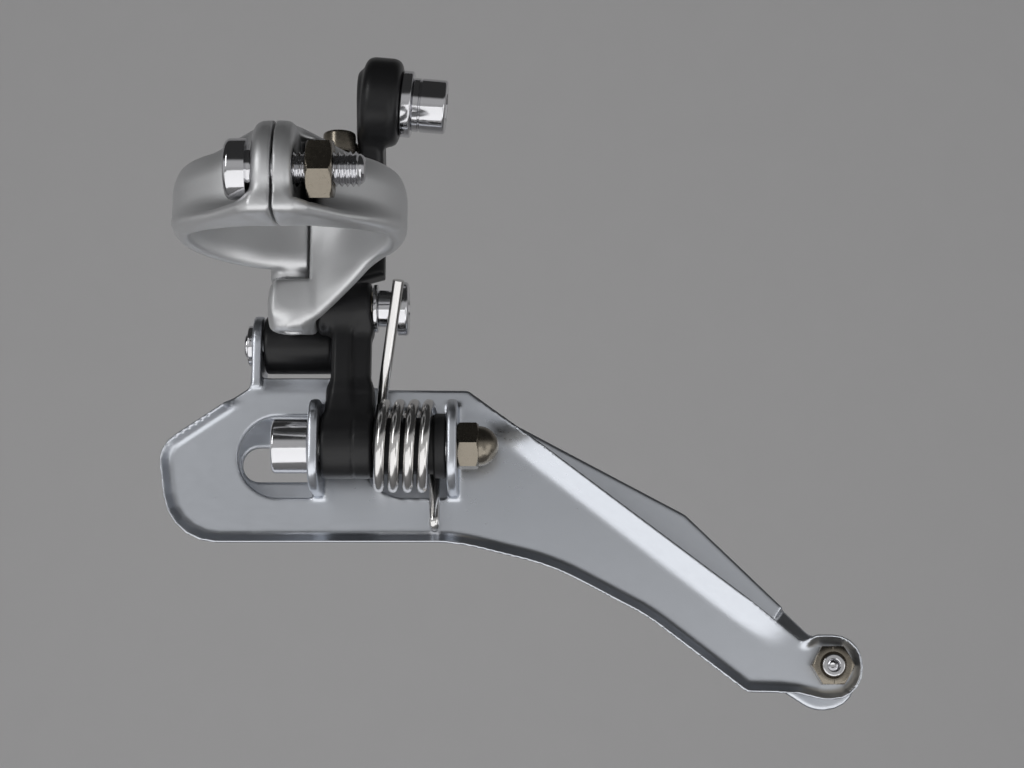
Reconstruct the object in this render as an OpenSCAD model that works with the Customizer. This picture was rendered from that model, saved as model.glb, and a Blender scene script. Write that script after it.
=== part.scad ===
// Front bicycle derailleur with a hinged band clamp, a four-pivot parallelogram and a chain cage.
// X points to the rear of the bicycle, Y to the drive side and Z up along the seat tube.
// The origin is the centre of the clamp bore, and every pivot axis of the linkage lies along X.

/* [Clamp] */
// Seat tube diameter, which is the clamp bore
tube_d = 28.6; // [27:0.1:31.8]
// Wall of the clamp band
band_t = 3.4; // [2.8:0.1:4.2]
// Height of the clamp band along the tube
band_h = 12.4; // [11:0.1:14]
// Gap between the two ears
split_gap = 0.6; // [0.4:0.1:1.2]
// Thickness of one ear along the clamp bolt
ear_t = 2.8; // [2.2:0.1:3.4]
// Reach of the ears beyond the band
ear_reach = 8.4; // [8:0.1:10]
// Clamp bolt axis beyond the band
bolt_out = 4.4; // [4.2:0.1:5]
// Clamp bolt axis above the clamp's middle
bolt_rise = 0.9; // [0:0.1:1.2]
// Height of the ledge under the bolt head and the nut
ledge_h = 2.4; // [1.6:0.1:2.6]
// Diameter of the clamp hinge pin
hinge_pin_d = 3; // [2.5:0.1:3.4]
// Wall round the hinge pin
knuckle_wall = 1.9; // [1.5:0.1:2.2]
// Hinge pin axis, from the tube's centre plane
hinge_x = -1.7; // [-2.2:0.1:-1.2]
// End of the strap on the far side, from the tube's centre plane
strap_end = 1.1; // [0.6:0.1:1.6]
// Length of the fixed hinge lug under the band
lug_drop = 8; // [6:0.1:9]

/* [Clamp bolt] */
// Thread diameter of the clamp bolt
clamp_bolt_d = 5; // [4:0.1:5.5]
// Length of the clamp bolt under its head
clamp_bolt_len = 16; // [15:0.1:18]
// Diameter of the clamp bolt head
clamp_head_d = 8.7; // [8:0.1:8.8]
// Height of the clamp bolt head
clamp_head_h = 3.7; // [3:0.1:4.5]
// Width across the flats of the clamp nut
clamp_nut_af = 8; // [7.5:0.1:8.2]
// Height of the clamp nut
clamp_nut_h = 3.8; // [3:0.1:4.2]
// Space between the loose clamp nut and its ear
nut_backoff = 1.6; // [1.4:0.1:2]

/* [Linkage] */
// Distance between the two pivots of each link
link_len = 23; // [21:0.1:25]
// Lean of the links towards the tube at rest, in degrees
link_lean = 6; // [4:0.5:8]
// Upper inner pivot beyond the tube
pivot_out = 10.1; // [9.8:0.1:11]
// Upper inner pivot below the clamp's middle
pivot_drop = 9.2; // [9:0.1:10]
// Outer pivots beyond the inner ones
pivot_step = 11; // [10.6:0.1:12]
// Outer pivots above the inner ones
pivot_rise = 18.4; // [18:0.1:19.5]
// Diameter of the pivot pins
pin_d = 4; // [3.5:0.1:4.4]
// Diameter of the inner link's upper eye
eye_d = 8.6; // [8:0.1:8.8]
// Width of the inner link's upper eye
eye_w = 7.6; // [6.4:0.1:8]
// Thickness of the inner link's web
web_t = 5.2; // [4:0.1:5.6]
// Diameter of the inner link's lower barrel
barrel_d = 10.4; // [9.8:0.1:11]
// Diameter of the lower axle
axle_d = 5; // [4.5:0.1:5.4]
// Wall of the bushes in the inner link
bush_t = 0.8; // [0.6:0.1:1]
// Diameter of the outer link's lower barrel
outer_barrel_d = 8.2; // [7.8:0.1:8.6]
// Thickness of the outer link's web
outer_web_t = 4.4; // [3.6:0.1:5]

/* [Cable arm] */
// Cable anchor in front of the upper outer pivot
anchor_fore = 10.9; // [10:0.1:11.5]
// Cable anchor above the upper outer pivot
anchor_rise = 16.9; // [16:0.1:18]
// Diameter of the anchor end of the arm
anchor_d = 14.6; // [13:0.1:15]
// Thickness of the anchor end
anchor_t = 6.3; // [5.6:0.1:6.6]
// Tilt of the cable bolt, in degrees
anchor_tilt = 5; // [0:0.5:6]
// Diameter of the cable washer
washer_d = 11; // [10:0.1:12]
// Thickness of the cable washer
washer_t = 1.9; // [1.4:0.1:2.2]
// Thread diameter of the cable bolt
cable_bolt_d = 5; // [4:0.1:5.5]
// Diameter of the cable bolt head
cable_head_d = 8.9; // [8:0.1:9]
// Height of the cable bolt head
cable_head_h = 5.6; // [4.5:0.1:6]

/* [Limit screws] */
// Thread diameter of the limit screws
limit_d = 3; // [2.5:0.1:3.2]
// Diameter of the limit screw heads
limit_head_d = 5.4; // [5:0.1:5.6]
// Height of the limit screw heads
limit_head_h = 3.4; // [2.5:0.1:4]
// Distance between the two limit screws
limit_pitch = 6; // [5.8:0.1:6.4]
// Length of the limit screws under their heads
limit_len = 19.9; // [18.4:0.1:20.4]

/* [Cage] */
// Thickness of the cage plates
plate_t = 1.4; // [1:0.1:1.6]
// Clear width between the plates, where the chain runs
cage_gap = 10.2; // [9:0.1:12]
// Near face of the inner plate beyond the lower axle
plate_out = 6.4; // [6:0.1:7]
// Height of the lip along the bottom and the nose
lip_h = 3; // [2:0.1:4]
// Nose of the cage in front of the tube's centre plane
nose_x = 23.3; // [22:0.1:26]
// Tail screw behind the tube's centre plane
tail_x = 84.5; // [82:0.1:90]
// Tail screw below the lower axle
tail_drop = 34.5; // [33:0.1:36]
// Bottom of the cage below the lower axle
belly_drop = 14.9; // [14:0.1:16]
// Top bridge above the lower axle
bridge_rise = 12.2; // [12:0.1:12.6]
// Diameter of the round tail end of the inner plate
tail_d = 9.2; // [8.5:0.1:10.5]
// Width of the bent strip along the upper rear edge
strip_w = 4; // [3:0.1:5]
// Tilt of the bent strip, in degrees
strip_tilt = 35; // [20:1:45]
// Width of the axle tabs
tab_w = 15; // [14:0.1:15.4]
// Height of the D-shaped cut-outs
cut_h = 13.4; // [13:0.1:14]
// Diameter of the outer pivot tabs
outer_tab_d = 9.8; // [9:0.1:10]
// Thread diameter of the tail screw
tail_screw_d = 3.6; // [3:0.1:4]
// Width across the flats of the tail nut
tail_nut_af = 6; // [5.5:0.1:7]
// Height of the tail nut
tail_nut_h = 2.6; // [2:0.1:3.2]

/* [Axle and spring] */
// Diameter of the axle head
axle_head_d = 8.7; // [8:0.1:9]
// Height of the axle head
axle_head_h = 6; // [5:0.1:6.5]
// Width across the flats of the acorn nut
acorn_af = 7; // [6.6:0.1:8]
// Length of the acorn nut's hexagon
acorn_hex_h = 3.4; // [3:0.1:4]
// Wire diameter of the return spring
wire_d = 1.8; // [1.4:0.1:1.8]
// Mean radius of the spring's coils
coil_r = 6.6; // [6.4:0.1:6.8]
// Number of coils
coils = 4; // [3:1:4]
// Gap between neighbouring coils
coil_gap = 0.5; // [0.45:0.05:0.6]

/* [Hidden] */
$fn = 64;

// Clearances: radial play of running and pressed pins, side play of links, room round loose pieces,
// radial play of the clamp bolt in the fixed ear, and the gap under the cable washer
run_play = 0.04;
press_play = 0.015;
side_play = 0.25;
room = 0.4;
bolt_play = 0.35;
seat_gap = 0.05;
// Long enough to cut through anything, and the overlap of solids that are joined
far = 200;
lap = 0.1;
// Hexagon sockets, as a share of the thread diameter
socket_share = 0.8;

// Clamp places
tube_r = tube_d / 2;
band_r = tube_r + band_t;
bolt_y = -(band_r + bolt_out);
ear_y = -(band_r + ear_reach);
ear_x = split_gap / 2 + ear_t;
ledge_z = bolt_rise - max(clamp_head_d / 2, clamp_nut_af / sqrt(3)) - seat_gap;
ear_z = ledge_z - ledge_h;
knuckle_r = hinge_pin_d / 2 + knuckle_wall;
hinge_wall = 1.3;
hinge_y = tube_r + hinge_wall + knuckle_r;
strap_floor = -band_h / 2 - 0.2;
lug_z = -band_h / 2 - lug_drop;
lug_step = 1.4;
head_pocket_r = max(clamp_head_d / 2, clamp_nut_af / sqrt(3)) + room;

// Rounding of the band's lower and upper edges, as steps in from the outside and from the edge
band_foot = [[1, 0], [0.3, 0.8], [0, 2.2]];
band_crest = [[0, 5.2], [0.5, 3], [1.4, 1.2], [2.4, 0]];
// Plan of the ledge: bevel beside the ear, then two points as shares of the band's radius
ear_bevel = [1.2, 0.6];
sweep_side = [0.62, -0.98];
sweep_back = [0.92, -0.4];
// Wall under the band: its top, its thickness beyond the band, and its outline in X and Z
wall_top = 1;
wall_extra = 0.4;
wall_outline = [[hinge_x, lug_z], [hinge_x + 2.4, lug_z + 0.2], [hinge_x + 4.5, lug_z + 2],
                [tube_r, -2.2], [tube_r + 2, wall_top], [hinge_x, wall_top]];

// Hinge pin: recess below, room under the head, and the head
hinge_recess = 0.8;
hinge_head_gap = 0.3;
hinge_head_d = hinge_pin_d + 2;
hinge_head_h = 1;
// Clamp bolt: chamfers and depth of the socket
bolt_chamfer = 0.6;
bolt_socket_h = 2;
// Turn of the clamp nut: a corner points forwards and down by this angle
nut_turn = 15;

// Pivots as Y and Z: a and b on the clamp body, c and d on the cage
a = [tube_r + pivot_out, -pivot_drop];
b = a + [pivot_step, pivot_rise];
link_v = link_len * [-sin(link_lean), -cos(link_lean)];
c = a + link_v;
d = b + link_v;

// Places along X of the linkage, from the clamp's middle to the rear
boss_x0 = -4;
boss_x1 = 3;
eye_x0 = boss_x1 + side_play;
eye_x1 = eye_x0 + eye_w;
web_in = 1.4;
web_x0 = eye_x0 + web_in;
pin_washer_t = 0.8;
washer_x1 = eye_x1 + side_play + pin_washer_t;
pin_neck = 3;
pin_head_t = 1.9;
pin_head_x0 = washer_x1 + pin_neck;
pin_head_x1 = pin_head_x0 + pin_head_t;
pin_head_r = 4.4;
arm_gap = 0.7;
arm_w = 5.5;
arm_x0 = hinge_x + knuckle_r + arm_gap;
arm_x1 = arm_x0 + arm_w;
tab_t = plate_t + 0.2;
tab_x0 = 1.4;
tab_x1 = tab_x0 + tab_t;
barrel_x0 = tab_x1 + side_play;
barrel_x1 = 11.4;
spring_gap = 0.2;
spring_x0 = barrel_x1 + spring_gap;
pitch = wire_d + coil_gap;
spring_x1 = spring_x0 + coils * pitch;
rings = 12;
collar_gap = 1.1;
collar_x1 = spring_x1 + pitch / rings + wire_d / 2 + collar_gap;
rear_tab_x0 = collar_x1 + side_play;
rear_tab_x1 = rear_tab_x0 + tab_t;
outer_x0 = -7.3;
outer_x1 = 4;

// Cage places: the near faces of the plates, and heights
plate_y = c[0] + plate_out;
outer_y = plate_y + plate_t + cage_gap;
belly_z = c[1] - belly_drop;
bridge_z = c[1] + bridge_rise;
tail_z = c[1] - tail_drop;
bridge_x0 = outer_x0 - side_play - tab_t;
bridge_x1 = outer_x1 + side_play + tab_t;
flange_h = 5.2;
// Upper rear edge of the flat plate, where the bent strip starts
crease_from = [21.2, bridge_z - 2];
crease_to = [tail_x - 8.8, tail_z + 2.3];
crease_v = crease_to - crease_from;
// Outlines of the plates: X where the belly starts to fall, falls faster and bends before the tail, how far
// it has fallen there, the radii of these curves, and the outer plate's shoulders in X and below the bridge
belly_x = 24.5;
fall_x = 40;
bend_back = 29.3;
fall_drop = 3.8;
bend_drop = 11.8;
belly_curve = 30;
fall_curve = 40;
outer_inset = 2;
front_shoulder = [26, 1.6];
rear_shoulder = [62.6, 21.2];
// Rivets: places in the bridge's flange, shank and heads
rivet_edge = 3;
rivet_x = [bridge_x0 + rivet_edge, bridge_x1 - rivet_edge];
rivet_z = bridge_z - 3.3;
rivet_r = 1;
rivet_head_r = rivet_r + 0.6;
rivet_head_h = 0.7;
// Tail screw: end beyond the nut, head, drilled end and screwdriver slot
screw_end = 0.5;
screw_rim = 1.7;
screw_head_d = tail_screw_d + 2 * screw_rim;
screw_head_h = 1.8;
screw_hole_d = tail_screw_d * 0.55;
screw_hole_h = 1.4;
slot_w = 0.8;
screw_slot_h = 0.9;
spacer_wall = 1.2;
// Long opening of the outer plate, from one round end to the other
slot_r = 2.9;
slot_from = -8.85;
slot_to = 5.6;
slot_drop = 0.6;

// Ears of the outer link, cable anchor and limit screws
anchor = b + [-anchor_fore, anchor_rise];
front_ear_w = 4.6;
rear_ear_w = 4.1;
ear1_x1 = arm_x0 - side_play;
ear1_x0 = ear1_x1 - front_ear_w;
ear2_x0 = arm_x1 + side_play;
ear2_x1 = ear2_x0 + rear_ear_w;
anchor_gap = 0.15;
arm_taper = 2.2;
arm_end_r = anchor_d / 2 - arm_taper;
cable_end = 0.9;
cable_socket_h = 2.6;
limit_x = (arm_x0 + arm_x1) / 2;
limit_y = a[0] - 0.7;
limit_top = 15.2;
limit_lift = 1.6;
limit_slot_h = 1.2;
turret_fore = 2.8;
turret_aft = 2.6;

// Pivot boss and arm of the clamp body, with their round roots at the band
boss_r = eye_d / 2 - 0.1;
boss_root = [tube_r + 2, a[1]];
boss_root_r = 3.4;
arm_root = [tube_r + 4, 1.2];
arm_root_r = band_h / 2 - 1.6;
// Pins and clips: neck of the upper inner pin, heads, ends and clips of the outer pins
pin_recess = 0.5;
pin_neck_r = pin_d / 2 + 1;
pin_dimple_r = pin_d / 2 - 0.5;
pin_dimple_h = 0.9;
head_r = pin_d / 2 + 0.9;
upper_head_h = 1.1;
lower_head_h = 0.9;
upper_end = 1.4;
lower_end = 1.6;
upper_clip_t = 0.9;
lower_clip_t = 1;
upper_clip_r = pin_d / 2 + 1.2;
lower_clip_r = pin_d / 2 + 1.4;
axle_socket_h = 3;

// Route of the wire: the upper leg, the coils round the axle and the lower leg. Both legs leave the coils
// behind the axle, and the upper one leans forwards, past the front of the pin head
leg_gap = 0.25;
leg_in = 0.6;
leg_over = 3;
leg_off = pin_head_r + wire_d / 2 + leg_gap;
lean = asin((coil_r + leg_off) / norm(a - c)) - atan2(a[0] - c[0], a[1] - c[1]);
leg_rise = a[1] + leg_over - c[1] - coil_r * sin(lean);
leg_top = [pin_head_x0 + leg_in, c[0] + coil_r * cos(lean) - leg_rise * tan(lean), a[1] + leg_over];
foot_gap = 0.5;
foot_len = wire_d + 0.6;
foot_to = [plate_y - leg_gap, belly_z + plate_t + wire_d / 2 + foot_gap];
foot_v = foot_to - [foot_len, 0] - c;
last_turn = atan2(foot_v[1], foot_v[0]) + acos(coil_r / norm(foot_v)) - 360 * coils;
coil_rings = rings * coils + 1;
coil = [for (k = [0:coil_rings])
    let (turn = lean + (last_turn - lean) * k / coil_rings)
    [spring_x0 + pitch * (lean - turn) / 360, c[0] + coil_r * cos(turn), c[1] + coil_r * sin(turn)]];
foot = [coil[coil_rings][0], foot_to[0], foot_to[1]];
foot_bend = foot - [0, foot_len, 0];
leave = coil[coil_rings] + (foot_bend - coil[coil_rings]) * 0.2;
wire = concat(steps(leg_top, coil[0], 8), coil, steps(leave, foot_bend, 4), [foot_bend, foot]);
// Least gap of the wire to itself, between points that are not close along it
near_rings = 5;
wire_gap = min([for (i = [0:len(wire) - 1]) for (j = [i + near_rings:1:len(wire) - 1])
    norm(wire[i] - wire[j])]) - wire_d;

satin = "#b4b4b2";
cage_silver = "#bfc3c8";
black = "#1d1d1f";
chrome = "#d6d6da";
brassy = "#b9ab8c";
bronze = "#8f7a4a";

// Points from p towards q, without q, in n even steps
function steps(p, q, n) = [for (k = [0:n - 1]) p + (q - p) * k / n];

// Corner [x, y, radius] of an outline, as the points of its arc
function corner(p0, p1, p2, n = 6) =
    let (o = [p1[0], p1[1]])
    let (u = [p0[0], p0[1]] - o)
    let (v = [p2[0], p2[1]] - o)
    let (e = u / norm(u))
    let (f = v / norm(v))
    let (half = acos(e * f) / 2)
    let (m = o + (e + f) / norm(e + f) * p1[2] / sin(half))
    let (s = o + e * p1[2] / tan(half) - m)
    let (t = o + f * p1[2] / tan(half) - m)
    let (from = atan2(s[1], s[0]))
    let (raw = atan2(t[1], t[0]) - from)
    let (turn = raw > 180 ? raw - 360 : raw < -180 ? raw + 360 : raw)
    [for (k = [0:n]) m + p1[2] * [cos(from + turn * k / n), sin(from + turn * k / n)]];

// Outline with round corners, from [x, y, radius] points
function rounded(pts) =
    let (n = len(pts))
    [for (i = [0:n - 1]) each corner(pts[(i + n - 1) % n], pts[i], pts[(i + 1) % n])];

// Outline drawn in by a wall, for points that run clockwise
function inset(pts, wall) =
    let (n = len(pts))
    let (way = [for (i = [0:n - 1]) let (v = pts[(i + 1) % n] - pts[i]) [v[1], -v[0]] / norm(v)])
    [for (i = [0:n - 1])
        let (n1 = way[(i + n - 1) % n])
        pts[i] + wall * (n1 + way[i]) / (1 + n1 * way[i])];

// A flat shape drawn in Y and Z, as a solid from x0 to x1
module along_x(x0, x1) {
    translate([x0, 0, 0])
        rotate([90, 0, 90])
            linear_extrude(x1 - x0)
                children();
}

// A flat shape drawn in X and Z, as a solid from y0 to y1
module along_y(y0, y1) {
    translate([0, y1, 0])
        rotate([90, 0, 0])
            linear_extrude(y1 - y0)
                children();
}

// Round bar along X at a place p in Y and Z
module rod(p, r, x0, x1) {
    along_x(x0, x1)
        translate(p)
            circle(r);
}

// Flat link between two round ends, with exact tangents
module bar(p, rp, q, rq) {
    v = q - p;
    lean = atan2(v[1], v[0]);
    open = acos((rp - rq) / norm(v));
    function at(o, r, s) = o + r * [cos(lean + s * open), sin(lean + s * open)];
    translate(p) circle(rp);
    translate(q) circle(rq);
    polygon([at(p, rp, 1), at(q, rq, 1), at(q, rq, -1), at(p, rp, -1)]);
}

// Regular hexagon across the flats, with a corner pointing along its first axis
module hexagon(af) {
    circle(r = af / sqrt(3), $fn = 6);
}

// Solid along the tilted cable bolt axis, from w0 to w1 along X past the pivot plane
module at_anchor(w0, w1) {
    translate([0, anchor[0], anchor[1]])
        translate([ear2_x0 + anchor_d / 2 * sin(anchor_tilt) + anchor_gap, 0, 0])
            rotate([0, 90 + anchor_tilt, 0])
                translate([0, 0, w0])
                    linear_extrude(w1 - w0)
                        children();
}

// Clamp
// Front of one clamp half: the ear's ridge and the sweep from the ledge back to the band
module ear_half(side) {
    sweep = [[0, ear_y], [ear_x, ear_y], [ear_x, ear_y] + ear_bevel, band_r * sweep_side,
             band_r * sweep_back, [0, band_r * sweep_back[1]]];
    mirror([side < 0 ? 1 : 0, 0, 0])
        difference() {
            translate([0, 0, ear_z])
                linear_extrude(band_h / 2 - ear_z)
                    polygon(sweep);
            // Pocket for the bolt head or the nut, open upwards above the ledge
            translate([ear_x, -far, ledge_z])
                cube([far, far + bolt_y + head_pocket_r, far]);
        }
}

// Section of the band: its outside is crowned, more at the top
module band_profile() {
    h = band_h / 2;
    polygon(concat([[0, -h]], [for (p = band_foot) [band_r - p[0], -h + p[1]]],
                   [for (p = band_crest) [band_r - p[0], h - p[1]]], [[0, h]]));
}

module half_ring(side) {
    rotate_extrude()
        band_profile();
    ear_half(side);
}

module clamp_body() {
    color(satin)
        difference() {
            union() {
                intersection() {
                    half_ring(1);
                    translate([split_gap / 2, -far, -far])
                        cube([far, 2 * far, 2 * far]);
                }
                // Wall under the band, which ends at the hinge lug along a slanted edge
                intersection() {
                    translate([0, 0, lug_z])
                        cylinder(r = band_r + wall_extra, h = wall_top - lug_z);
                    along_y(0, far)
                        polygon(wall_outline);
                }
                hinge_lug();
                pivot_boss();
                outer_arm();
            }
            translate([0, 0, -far])
                cylinder(d = tube_d, h = 2 * far);
            // Room for the strap's knuckle
            translate([hinge_x, hinge_y, strap_floor])
                cylinder(r = knuckle_r + room, h = far);
            translate([-far, 0, strap_floor])
                cube([far + strap_end + room, hinge_y, far]);
            translate([hinge_x, hinge_y, -far])
                cylinder(d = hinge_pin_d + 2 * press_play, h = 2 * far);
            translate([0, bolt_y, bolt_rise])
                rotate([0, 90, 0])
                    cylinder(d = clamp_bolt_d + 2 * bolt_play, h = far);
            rod(a, pin_d / 2 + press_play, -far, far);
            rod(b, pin_d / 2 + run_play, -far, far);
            for (k = [0, 1])
                translate([limit_x, limit_y + k * limit_pitch, a[1] + eye_d / 2 + room])
                    cylinder(d = limit_d + 2 * run_play, h = far);
        }
}

// Lug under the band that carries the clamp hinge pin
module hinge_lug() {
    translate([hinge_x, hinge_y, lug_z])
        cylinder(r = knuckle_r, h = strap_floor - lug_z);
    translate([hinge_x - knuckle_r, tube_r, lug_z + lug_step])
        cube([2 * knuckle_r, hinge_y - tube_r, strap_floor - lug_z - lug_step]);
}

// Boss of the upper inner pivot, carried by the wall
module pivot_boss() {
    along_x(boss_x0, boss_x1)
        bar(a, boss_r, boss_root, boss_root_r);
}

// Arm to the upper outer pivot, with the turret of the limit screws
module outer_arm() {
    along_x(arm_x0, arm_x1) {
        bar(arm_root, arm_root_r, b, pin_d);
        polygon([[limit_y - turret_fore, arm_root[1]], [limit_y - turret_fore, limit_top],
                 [limit_y + limit_pitch + turret_aft, limit_top], [b[0], b[1] + pin_d], [b[0], b[1]]]);
    }
}

module clamp_strap() {
    color(satin)
        difference() {
            union() {
                intersection() {
                    half_ring(-1);
                    translate([-far - split_gap / 2, -far, -far])
                        cube([far, 2 * far, 2 * far]);
                }
                // The far side runs on to the body's end, past the hinge
                intersection() {
                    half_ring(-1);
                    translate([-split_gap, 0, -far])
                        cube([split_gap + strap_end, far, 2 * far]);
                }
                translate([hinge_x, hinge_y, -band_h / 2])
                    cylinder(r = knuckle_r, h = band_h);
            }
            translate([0, 0, -far])
                cylinder(d = tube_d, h = 2 * far);
            translate([hinge_x, hinge_y, -far])
                cylinder(d = hinge_pin_d + 2 * run_play, h = 2 * far);
            translate([-far, bolt_y, bolt_rise])
                rotate([0, 90, 0])
                    cylinder(d = clamp_bolt_d + 2 * press_play, h = far);
        }
}

module clamp_hinge_pin() {
    color(chrome)
        translate([hinge_x, hinge_y, 0]) {
            translate([0, 0, lug_z + hinge_recess])
                cylinder(d = hinge_pin_d, h = band_h / 2 + hinge_head_gap - lug_z - hinge_recess);
            translate([0, 0, band_h / 2 + hinge_head_gap])
                cylinder(d = hinge_head_d, h = hinge_head_h);
        }
}

module clamp_bolt() {
    head_x = -ear_x - clamp_head_h;
    end_x = clamp_bolt_len - ear_x;
    color(chrome)
        translate([0, bolt_y, bolt_rise])
            rotate([0, 90, 0])
                difference() {
                    rotate_extrude()
                        polygon([[0, head_x], [clamp_head_d / 2 - bolt_chamfer, head_x],
                                 [clamp_head_d / 2, head_x + bolt_chamfer],
                                 [clamp_head_d / 2, -ear_x], [clamp_bolt_d / 2, -ear_x],
                                 [clamp_bolt_d / 2, end_x - bolt_chamfer],
                                 [clamp_bolt_d / 2 - bolt_chamfer, end_x], [0, end_x]]);
                    translate([0, 0, head_x - 1])
                        linear_extrude(bolt_socket_h + 1)
                            hexagon(clamp_bolt_d * socket_share);
                }
}

module clamp_nut() {
    color(brassy)
        translate([ear_x + nut_backoff, bolt_y, bolt_rise])
            rotate([0, 90, 0])
                linear_extrude(clamp_nut_h)
                    difference() {
                        rotate(90 + nut_turn)
                            hexagon(clamp_nut_af);
                        circle(d = clamp_bolt_d + 2 * run_play);
                    }
}

// Linkage
module inner_link() {
    shoulder_in = 0.6;
    shoulder_share = 0.35;
    color(black)
        difference() {
            union() {
                rod(a, eye_d / 2, eye_x0, eye_x1);
                rod(c, barrel_d / 2, barrel_x0, barrel_x1);
                along_x(web_x0, eye_x1)
                    bar(a, web_t / 2, c, web_t / 2);
                // Shoulder that spreads from the web to the lower barrel
                along_x(barrel_x0 + shoulder_in, barrel_x1)
                    bar(c + (a - c) * shoulder_share, web_t / 2 - room, c, barrel_d / 2 - shoulder_in);
            }
            rod(a, pin_d / 2 + bush_t + press_play, -far, far);
            rod(c, axle_d / 2 + bush_t + press_play, -far, far);
        }
}

module inner_link_bushes() {
    color(bronze) {
        along_x(eye_x0, eye_x1)
            translate(a)
                difference() {
                    circle(pin_d / 2 + bush_t);
                    circle(pin_d / 2 + run_play);
                }
        along_x(barrel_x0, barrel_x1)
            translate(c)
                difference() {
                    circle(axle_d / 2 + bush_t);
                    circle(axle_d / 2 + run_play);
                }
    }
}

// Pin of the upper inner pivot: pressed into the clamp body, with a head that the spring leans on
module upper_inner_pin() {
    color(chrome)
        union() {
            rod(a, pin_d / 2, boss_x0 + pin_recess, washer_x1 + lap);
            rod(a, pin_neck_r, washer_x1, pin_head_x0 + lap);
            difference() {
                rod(a, pin_head_r, pin_head_x0, pin_head_x1);
                rod(a, pin_dimple_r, pin_head_x1 - pin_dimple_h, far);
            }
        }
}

module upper_pin_washer() {
    color(chrome)
        along_x(eye_x1 + side_play, washer_x1)
            translate(a)
                difference() {
                    circle(eye_d / 2 - room);
                    circle(pin_d / 2 + run_play);
                }
}

// Web of the outer link in its own plane: narrow at the lower barrel, forked round the clamp body's arm
module outer_web() {
    fork_room = 4.2;
    fork = link_len - pin_d - fork_room;
    shoulder = link_len * 0.42;
    foot_in = 1;
    rear_step = 2.4;
    front_step = 3;
    translate([0, d[0], d[1]])
        rotate([-link_lean, 0, 0])
            along_y(-outer_web_t / 2, outer_web_t / 2)
                polygon([[outer_x0 + foot_in, 0], [outer_x1, 0], [outer_x1, shoulder],
                         [ear2_x1, shoulder + rear_step], [ear2_x1, link_len], [ear2_x0, link_len],
                         [ear2_x0, fork], [ear1_x1, fork],
                         [ear1_x1, link_len], [ear1_x0, link_len], [ear1_x0, shoulder],
                         [outer_x0 + foot_in, shoulder - front_step]]);
}

module outer_link() {
    color(black)
        difference() {
            union() {
                rod(d, outer_barrel_d / 2, outer_x0, outer_x1);
                outer_web();
                rod(b, pin_d, ear1_x0, ear1_x1);
                // Rear ear and cable arm
                along_x(ear2_x0, ear2_x1)
                    bar(b, pin_d, anchor, arm_end_r);
                at_anchor(0, anchor_t)
                    circle(d = anchor_d);
            }
            rod(b, pin_d / 2 + press_play, -far, far);
            rod(d, pin_d / 2 + run_play, -far, far);
            at_anchor(-far, far)
                circle(d = cable_bolt_d + 2 * run_play);
        }
}

module upper_outer_pin() {
    color(chrome)
        union() {
            rod(b, pin_d / 2, ear1_x0 - upper_end, ear2_x1 + lap);
            rod(b, head_r, ear2_x1, ear2_x1 + upper_head_h);
        }
}

module upper_outer_clip() {
    color(chrome)
        along_x(ear1_x0 - upper_clip_t, ear1_x0)
            translate(b)
                difference() {
                    circle(upper_clip_r);
                    circle(pin_d / 2 + press_play);
                }
}

module cable_washer() {
    color(chrome)
        at_anchor(anchor_t + seat_gap, anchor_t + washer_t)
            difference() {
                circle(d = washer_d);
                circle(d = cable_bolt_d + 2 * run_play);
            }
}

module cable_bolt() {
    head_x = anchor_t + washer_t;
    color(chrome)
        difference() {
            union() {
                at_anchor(-cable_end, head_x + lap)
                    circle(d = cable_bolt_d);
                at_anchor(head_x, head_x + cable_head_h)
                    circle(d = cable_head_d);
            }
            at_anchor(head_x + cable_head_h - cable_socket_h, far)
                hexagon(cable_bolt_d * socket_share);
        }
}

// Limit screw at its place along Y
module limit_screw(y) {
    color(brassy)
        translate([limit_x, y, limit_top + limit_lift]) {
            translate([0, 0, -limit_len])
                cylinder(d = limit_d, h = limit_len);
            difference() {
                cylinder(d = limit_head_d, h = limit_head_h);
                translate([-far / 2, -slot_w / 2, limit_head_h - limit_slot_h])
                    cube([far, slot_w, far]);
            }
        }
}

module low_limit_screw() {
    limit_screw(limit_y);
}

module high_limit_screw() {
    limit_screw(limit_y + limit_pitch);
}

// Cage
// Outline of the inner plate in X and Z, clockwise from the bridge
function inner_outline() = rounded([
    [-7, bridge_z, 3], [3.8, bridge_z, 2], [12.8, bridge_z - 2, 4], [crease_from[0], crease_from[1], 1],
    [crease_to[0], crease_to[1], 2], [tail_x - 2.2, tail_z + tail_d / 2, 2],
    [tail_x + tail_d / 2, tail_z + tail_d / 2, tail_d / 2 - 0.1],
    [tail_x + tail_d / 2, tail_z - tail_d / 2, tail_d / 2 - 0.1],
    [tail_x - 6, tail_z - tail_d / 2 + 0.4, 3], [tail_x - 13.6, tail_z - 4.2, 2],
    [tail_x - bend_back, belly_z - bend_drop, belly_curve], [fall_x, belly_z - fall_drop, fall_curve],
    [belly_x, belly_z, belly_curve],
    [-nose_x + 1.6, belly_z, 9], [-nose_x - 0.6, bridge_z - 11.4, 5]]);

// D-shaped hole beside an axle tab, round towards the nose
module cut_out(x0, x1) {
    cut_drop = 0.8;
    translate([x0 + cut_h / 2, c[1] - cut_drop])
        circle(d = cut_h);
    translate([x0 + cut_h / 2, c[1] - cut_drop - cut_h / 2])
        square([x1 - x0 - cut_h / 2, cut_h]);
}

// Tab bent from the inner plate that carries the lower axle
module axle_tab(x0, x1) {
    tab_fore = 6.2;
    along_x(x0, x1)
        difference() {
            intersection() {
                union() {
                    translate(c)
                        circle(d = tab_w);
                    translate([c[0], c[1] - tab_w / 2])
                        square([plate_out + plate_t, tab_w]);
                }
                translate([c[0] - tab_fore, c[1] - tab_w])
                    square(2 * tab_w);
            }
            translate(c)
                circle(axle_d / 2 + press_play);
        }
}

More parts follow.
